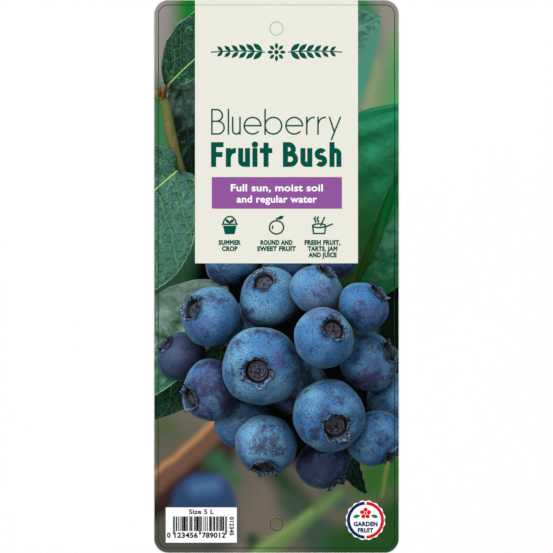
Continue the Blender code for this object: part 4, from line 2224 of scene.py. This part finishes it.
TWIG_LINE = ((-57, 80, -8), (-47, 77, -6), (-45.5, 62, -8), (-40.2, 42, -14))
TWIGS = (
    Twig("twig_left", TWIG_LINE, (2.1, 2.2, 2.2, 2.2), TWIG),
    Twig("leaf_stalk", ((-49, 75, -6), (-47.5, 78, -4), (-45, 82, -4)), (1.4, 1.0, 0.5), TWIG),
    Twig("bud_left", ((-49.4, 77, -4), (-49.6, 78.2, -2), (-49.2, 80.6, -2)), (0.9, 0.7, 0.15), BUD),
    Twig("bud_right", ((-48.0, 76, -3), (-47.6, 78.4, -1), (-46.4, 81.4, -1)), (1.1, 1.05, 0.2), BUD),
)


@dataclass
class StillLife(SubAssembly):
    """The printed still life: berries, leaves and twigs, lit softly and pressed flat."""

    berries: Sequence[Berry] = BERRIES
    leaves: Sequence[Leaf] = LEAVES
    twigs: Sequence[Twig] = TWIGS
    squash: float = 0.95
    edge_gap: float = 0.02
    brightest: Place = (-0.38, 0.62, 0.69)

    def build(self) -> None:
        """Models the motifs in full depth, paints daylight on them and presses them flat."""
        motifs: list[tuple[str, Mesh, Finish]] = []
        in_row = dict.fromkeys(Row, 0)
        for seed, (berry, height) in enumerate(self.heap(), start=1):
            in_row[berry.row] += 1
            name = f"berry_{berry.row.name.lower()}_{in_row[berry.row]}"
            motifs.append((name, berry.build(height, seed), BERRY))
        for motif in (*self.leaves, *self.twigs):
            motifs.append((motif.name, motif.build(), motif.finish))
        log.info("painting daylight on %d motifs", len(motifs))
        meshes = [made for _, made, _ in motifs]
        Daylight(Vector(self.brightest).normalized()).paint(meshes)
        for made in meshes:
            self.trim(made)
        self.press(meshes)
        for name, made, finish in motifs:
            self.add(name, made, finish)

    def heap(self) -> list[tuple[Berry, float]]:
        """Lays the berries on each other, row by row.

        Returns:
            The berries and how high the middle of each lies.
        """
        laid: list[tuple[Berry, float]] = []
        for berry in sorted(self.berries, key=lambda one: one.row.value):
            height = 0.0
            for below, low in laid:
                touch = self.squash * (berry.radius + below.radius)
                apart = math.dist(berry.place, below.place)
                if apart < touch:
                    height = max(height, low + math.sqrt(touch**2 - apart**2))
            laid.append((berry, height))
        return laid

    def trim(self, made: Mesh) -> None:
        """Cuts a motif off at the sheet's sides and top and closes the cuts.

        Args:
            made: The motif.
        """
        x = self.sheet.half_width - self.edge_gap
        y = self.sheet.half_height - self.edge_gap
        for side in (Vector((x, 0, 0)), Vector((-x, 0, 0)), Vector((0, y, 0))):
            geometry = made.verts[:] + made.edges[:] + made.faces[:]
            bmesh.ops.bisect_plane(made, geom=geometry, plane_co=side, plane_no=side, clear_outer=True)
            rims = [edge for edge in made.edges if edge.is_boundary]
            bmesh.ops.holes_fill(made, edges=rims, sides=0)

    def press(self, motifs: Sequence[Mesh]) -> None:
        """Squeezes the depth of the still life into its print layer.

        Args:
            motifs: All the motifs.
        """
        heights = [vertex.co.z for made in motifs for vertex in made.verts]
        deep, near = min(heights), max(heights)
        span = self.sheet.span(Layer.RELIEF)
        scale = span.depth / (near - deep)
        for made in motifs:
            for vertex in made.verts:
                vertex.co.z = span.low + (vertex.co.z - deep) * scale


@dataclass
class Studio:
    """Pale floor, soft boxes to the four sides and a camera straight above."""

    label_height: float
    frame_pixels: int = 553
    label_pixels: float = 552.3
    lens: float = 125.0
    sensor: float = 36.0
    floor_size: float = 3.0
    floor_drop: float = 0.1
    light_distance: float = 1.15
    light_rise: float = 39.0
    light_size: float = 0.9
    light_power: float = 6.0
    air_strength: float = 0.06

    def build(self) -> None:
        """Makes the floor, the lights, the air and the camera."""
        self.floor()
        boxes = (("left", 155, 1.08), ("top", 65, 1.06), ("right", -25, 0.94), ("bottom", -115, 0.92))
        for side, turn, share in boxes:
            self.soft_box(side, turn, share)
        self.air()
        self.camera()

    def floor(self) -> None:
        """Makes a wide pale floor just under the label."""
        made = bmesh.new()
        bmesh.ops.create_grid(made, x_segments=1, y_segments=1, size=self.floor_size)
        bmesh.ops.translate(made, verts=made.verts[:], vec=UP * (-self.floor_drop * MM))
        material = bpy.data.materials.new("pale_floor")
        material.use_nodes = True
        wires = Wires(material.node_tree)
        shader = material.node_tree.nodes["Principled BSDF"]
        tone = wires.noise(wires.place(), scale=0.004, detail=3.0)
        pale = wires.blend(tone, ink(251, 251, 251), ink(255, 255, 255))
        wires.feed(shader, {"Base Color": pale, "Roughness": 0.9, "Specular IOR Level": 0.1})
        mesh = stored("floor", made)
        mesh.materials.append(material)
        in_scene("floor", mesh)

    def soft_box(self, side: str, turn: float, share: float) -> None:
        """Hangs one soft box and turns it to the label.

        Args:
            side: The side of the label that it hangs on.
            turn: Where that is, in degrees anticlockwise from the right.
            share: Its share of the light.
        """
        lamp = bpy.data.lights.new(f"soft_box_{side}", "AREA")
        lamp.shape = "SQUARE"
        lamp.size = self.light_size
        lamp.energy = self.light_power * share
        holder = in_scene(lamp.name, lamp)
        angle, rise = math.radians(turn), math.radians(self.light_rise)
        level = Vector((math.cos(angle), math.sin(angle), 0)) * math.cos(rise)
        away = level + UP * math.sin(rise)
        holder.location = away * self.light_distance
        holder.rotation_euler = away.to_track_quat("Z", "Y").to_euler()

    def air(self) -> None:
        """Gives the room a dim even light."""
        world = bpy.data.worlds.new("studio_air")
        world.use_nodes = True
        background = world.node_tree.nodes["Background"]
        background.inputs["Color"].default_value = (1.0, 1.0, 1.0, 1.0)
        background.inputs["Strength"].default_value = self.air_strength
        bpy.context.scene.world = world
        bpy.context.scene.view_settings.view_transform = "Standard"

    def camera(self) -> None:
        """Puts the camera straight above the label's middle, with the label filling the frame."""
        seen = self.label_height * self.frame_pixels / self.label_pixels
        lens = bpy.data.cameras.new("camera")
        lens.lens = self.lens
        lens.sensor_width = self.sensor
        camera = in_scene("camera", lens)
        camera.location = (0.0, 0.0, seen * self.lens / self.sensor)
        bpy.context.scene.camera = camera


def main() -> None:
    """Builds the studio and then the label's parts in order."""
    logging.basicConfig(level=logging.INFO, format="%(name)s: %(message)s")
    sheet = Sheet.from_frame()
    Studio(label_height=2 * sheet.half_height * MM).build()
    for part in (PlasticSheet, Panel, Titles, Pictograms, StripedCode, Seal, StillLife):
        log.info("building %s", part.__name__)
        part(sheet).build()


if __name__ == "__main__":
    main()
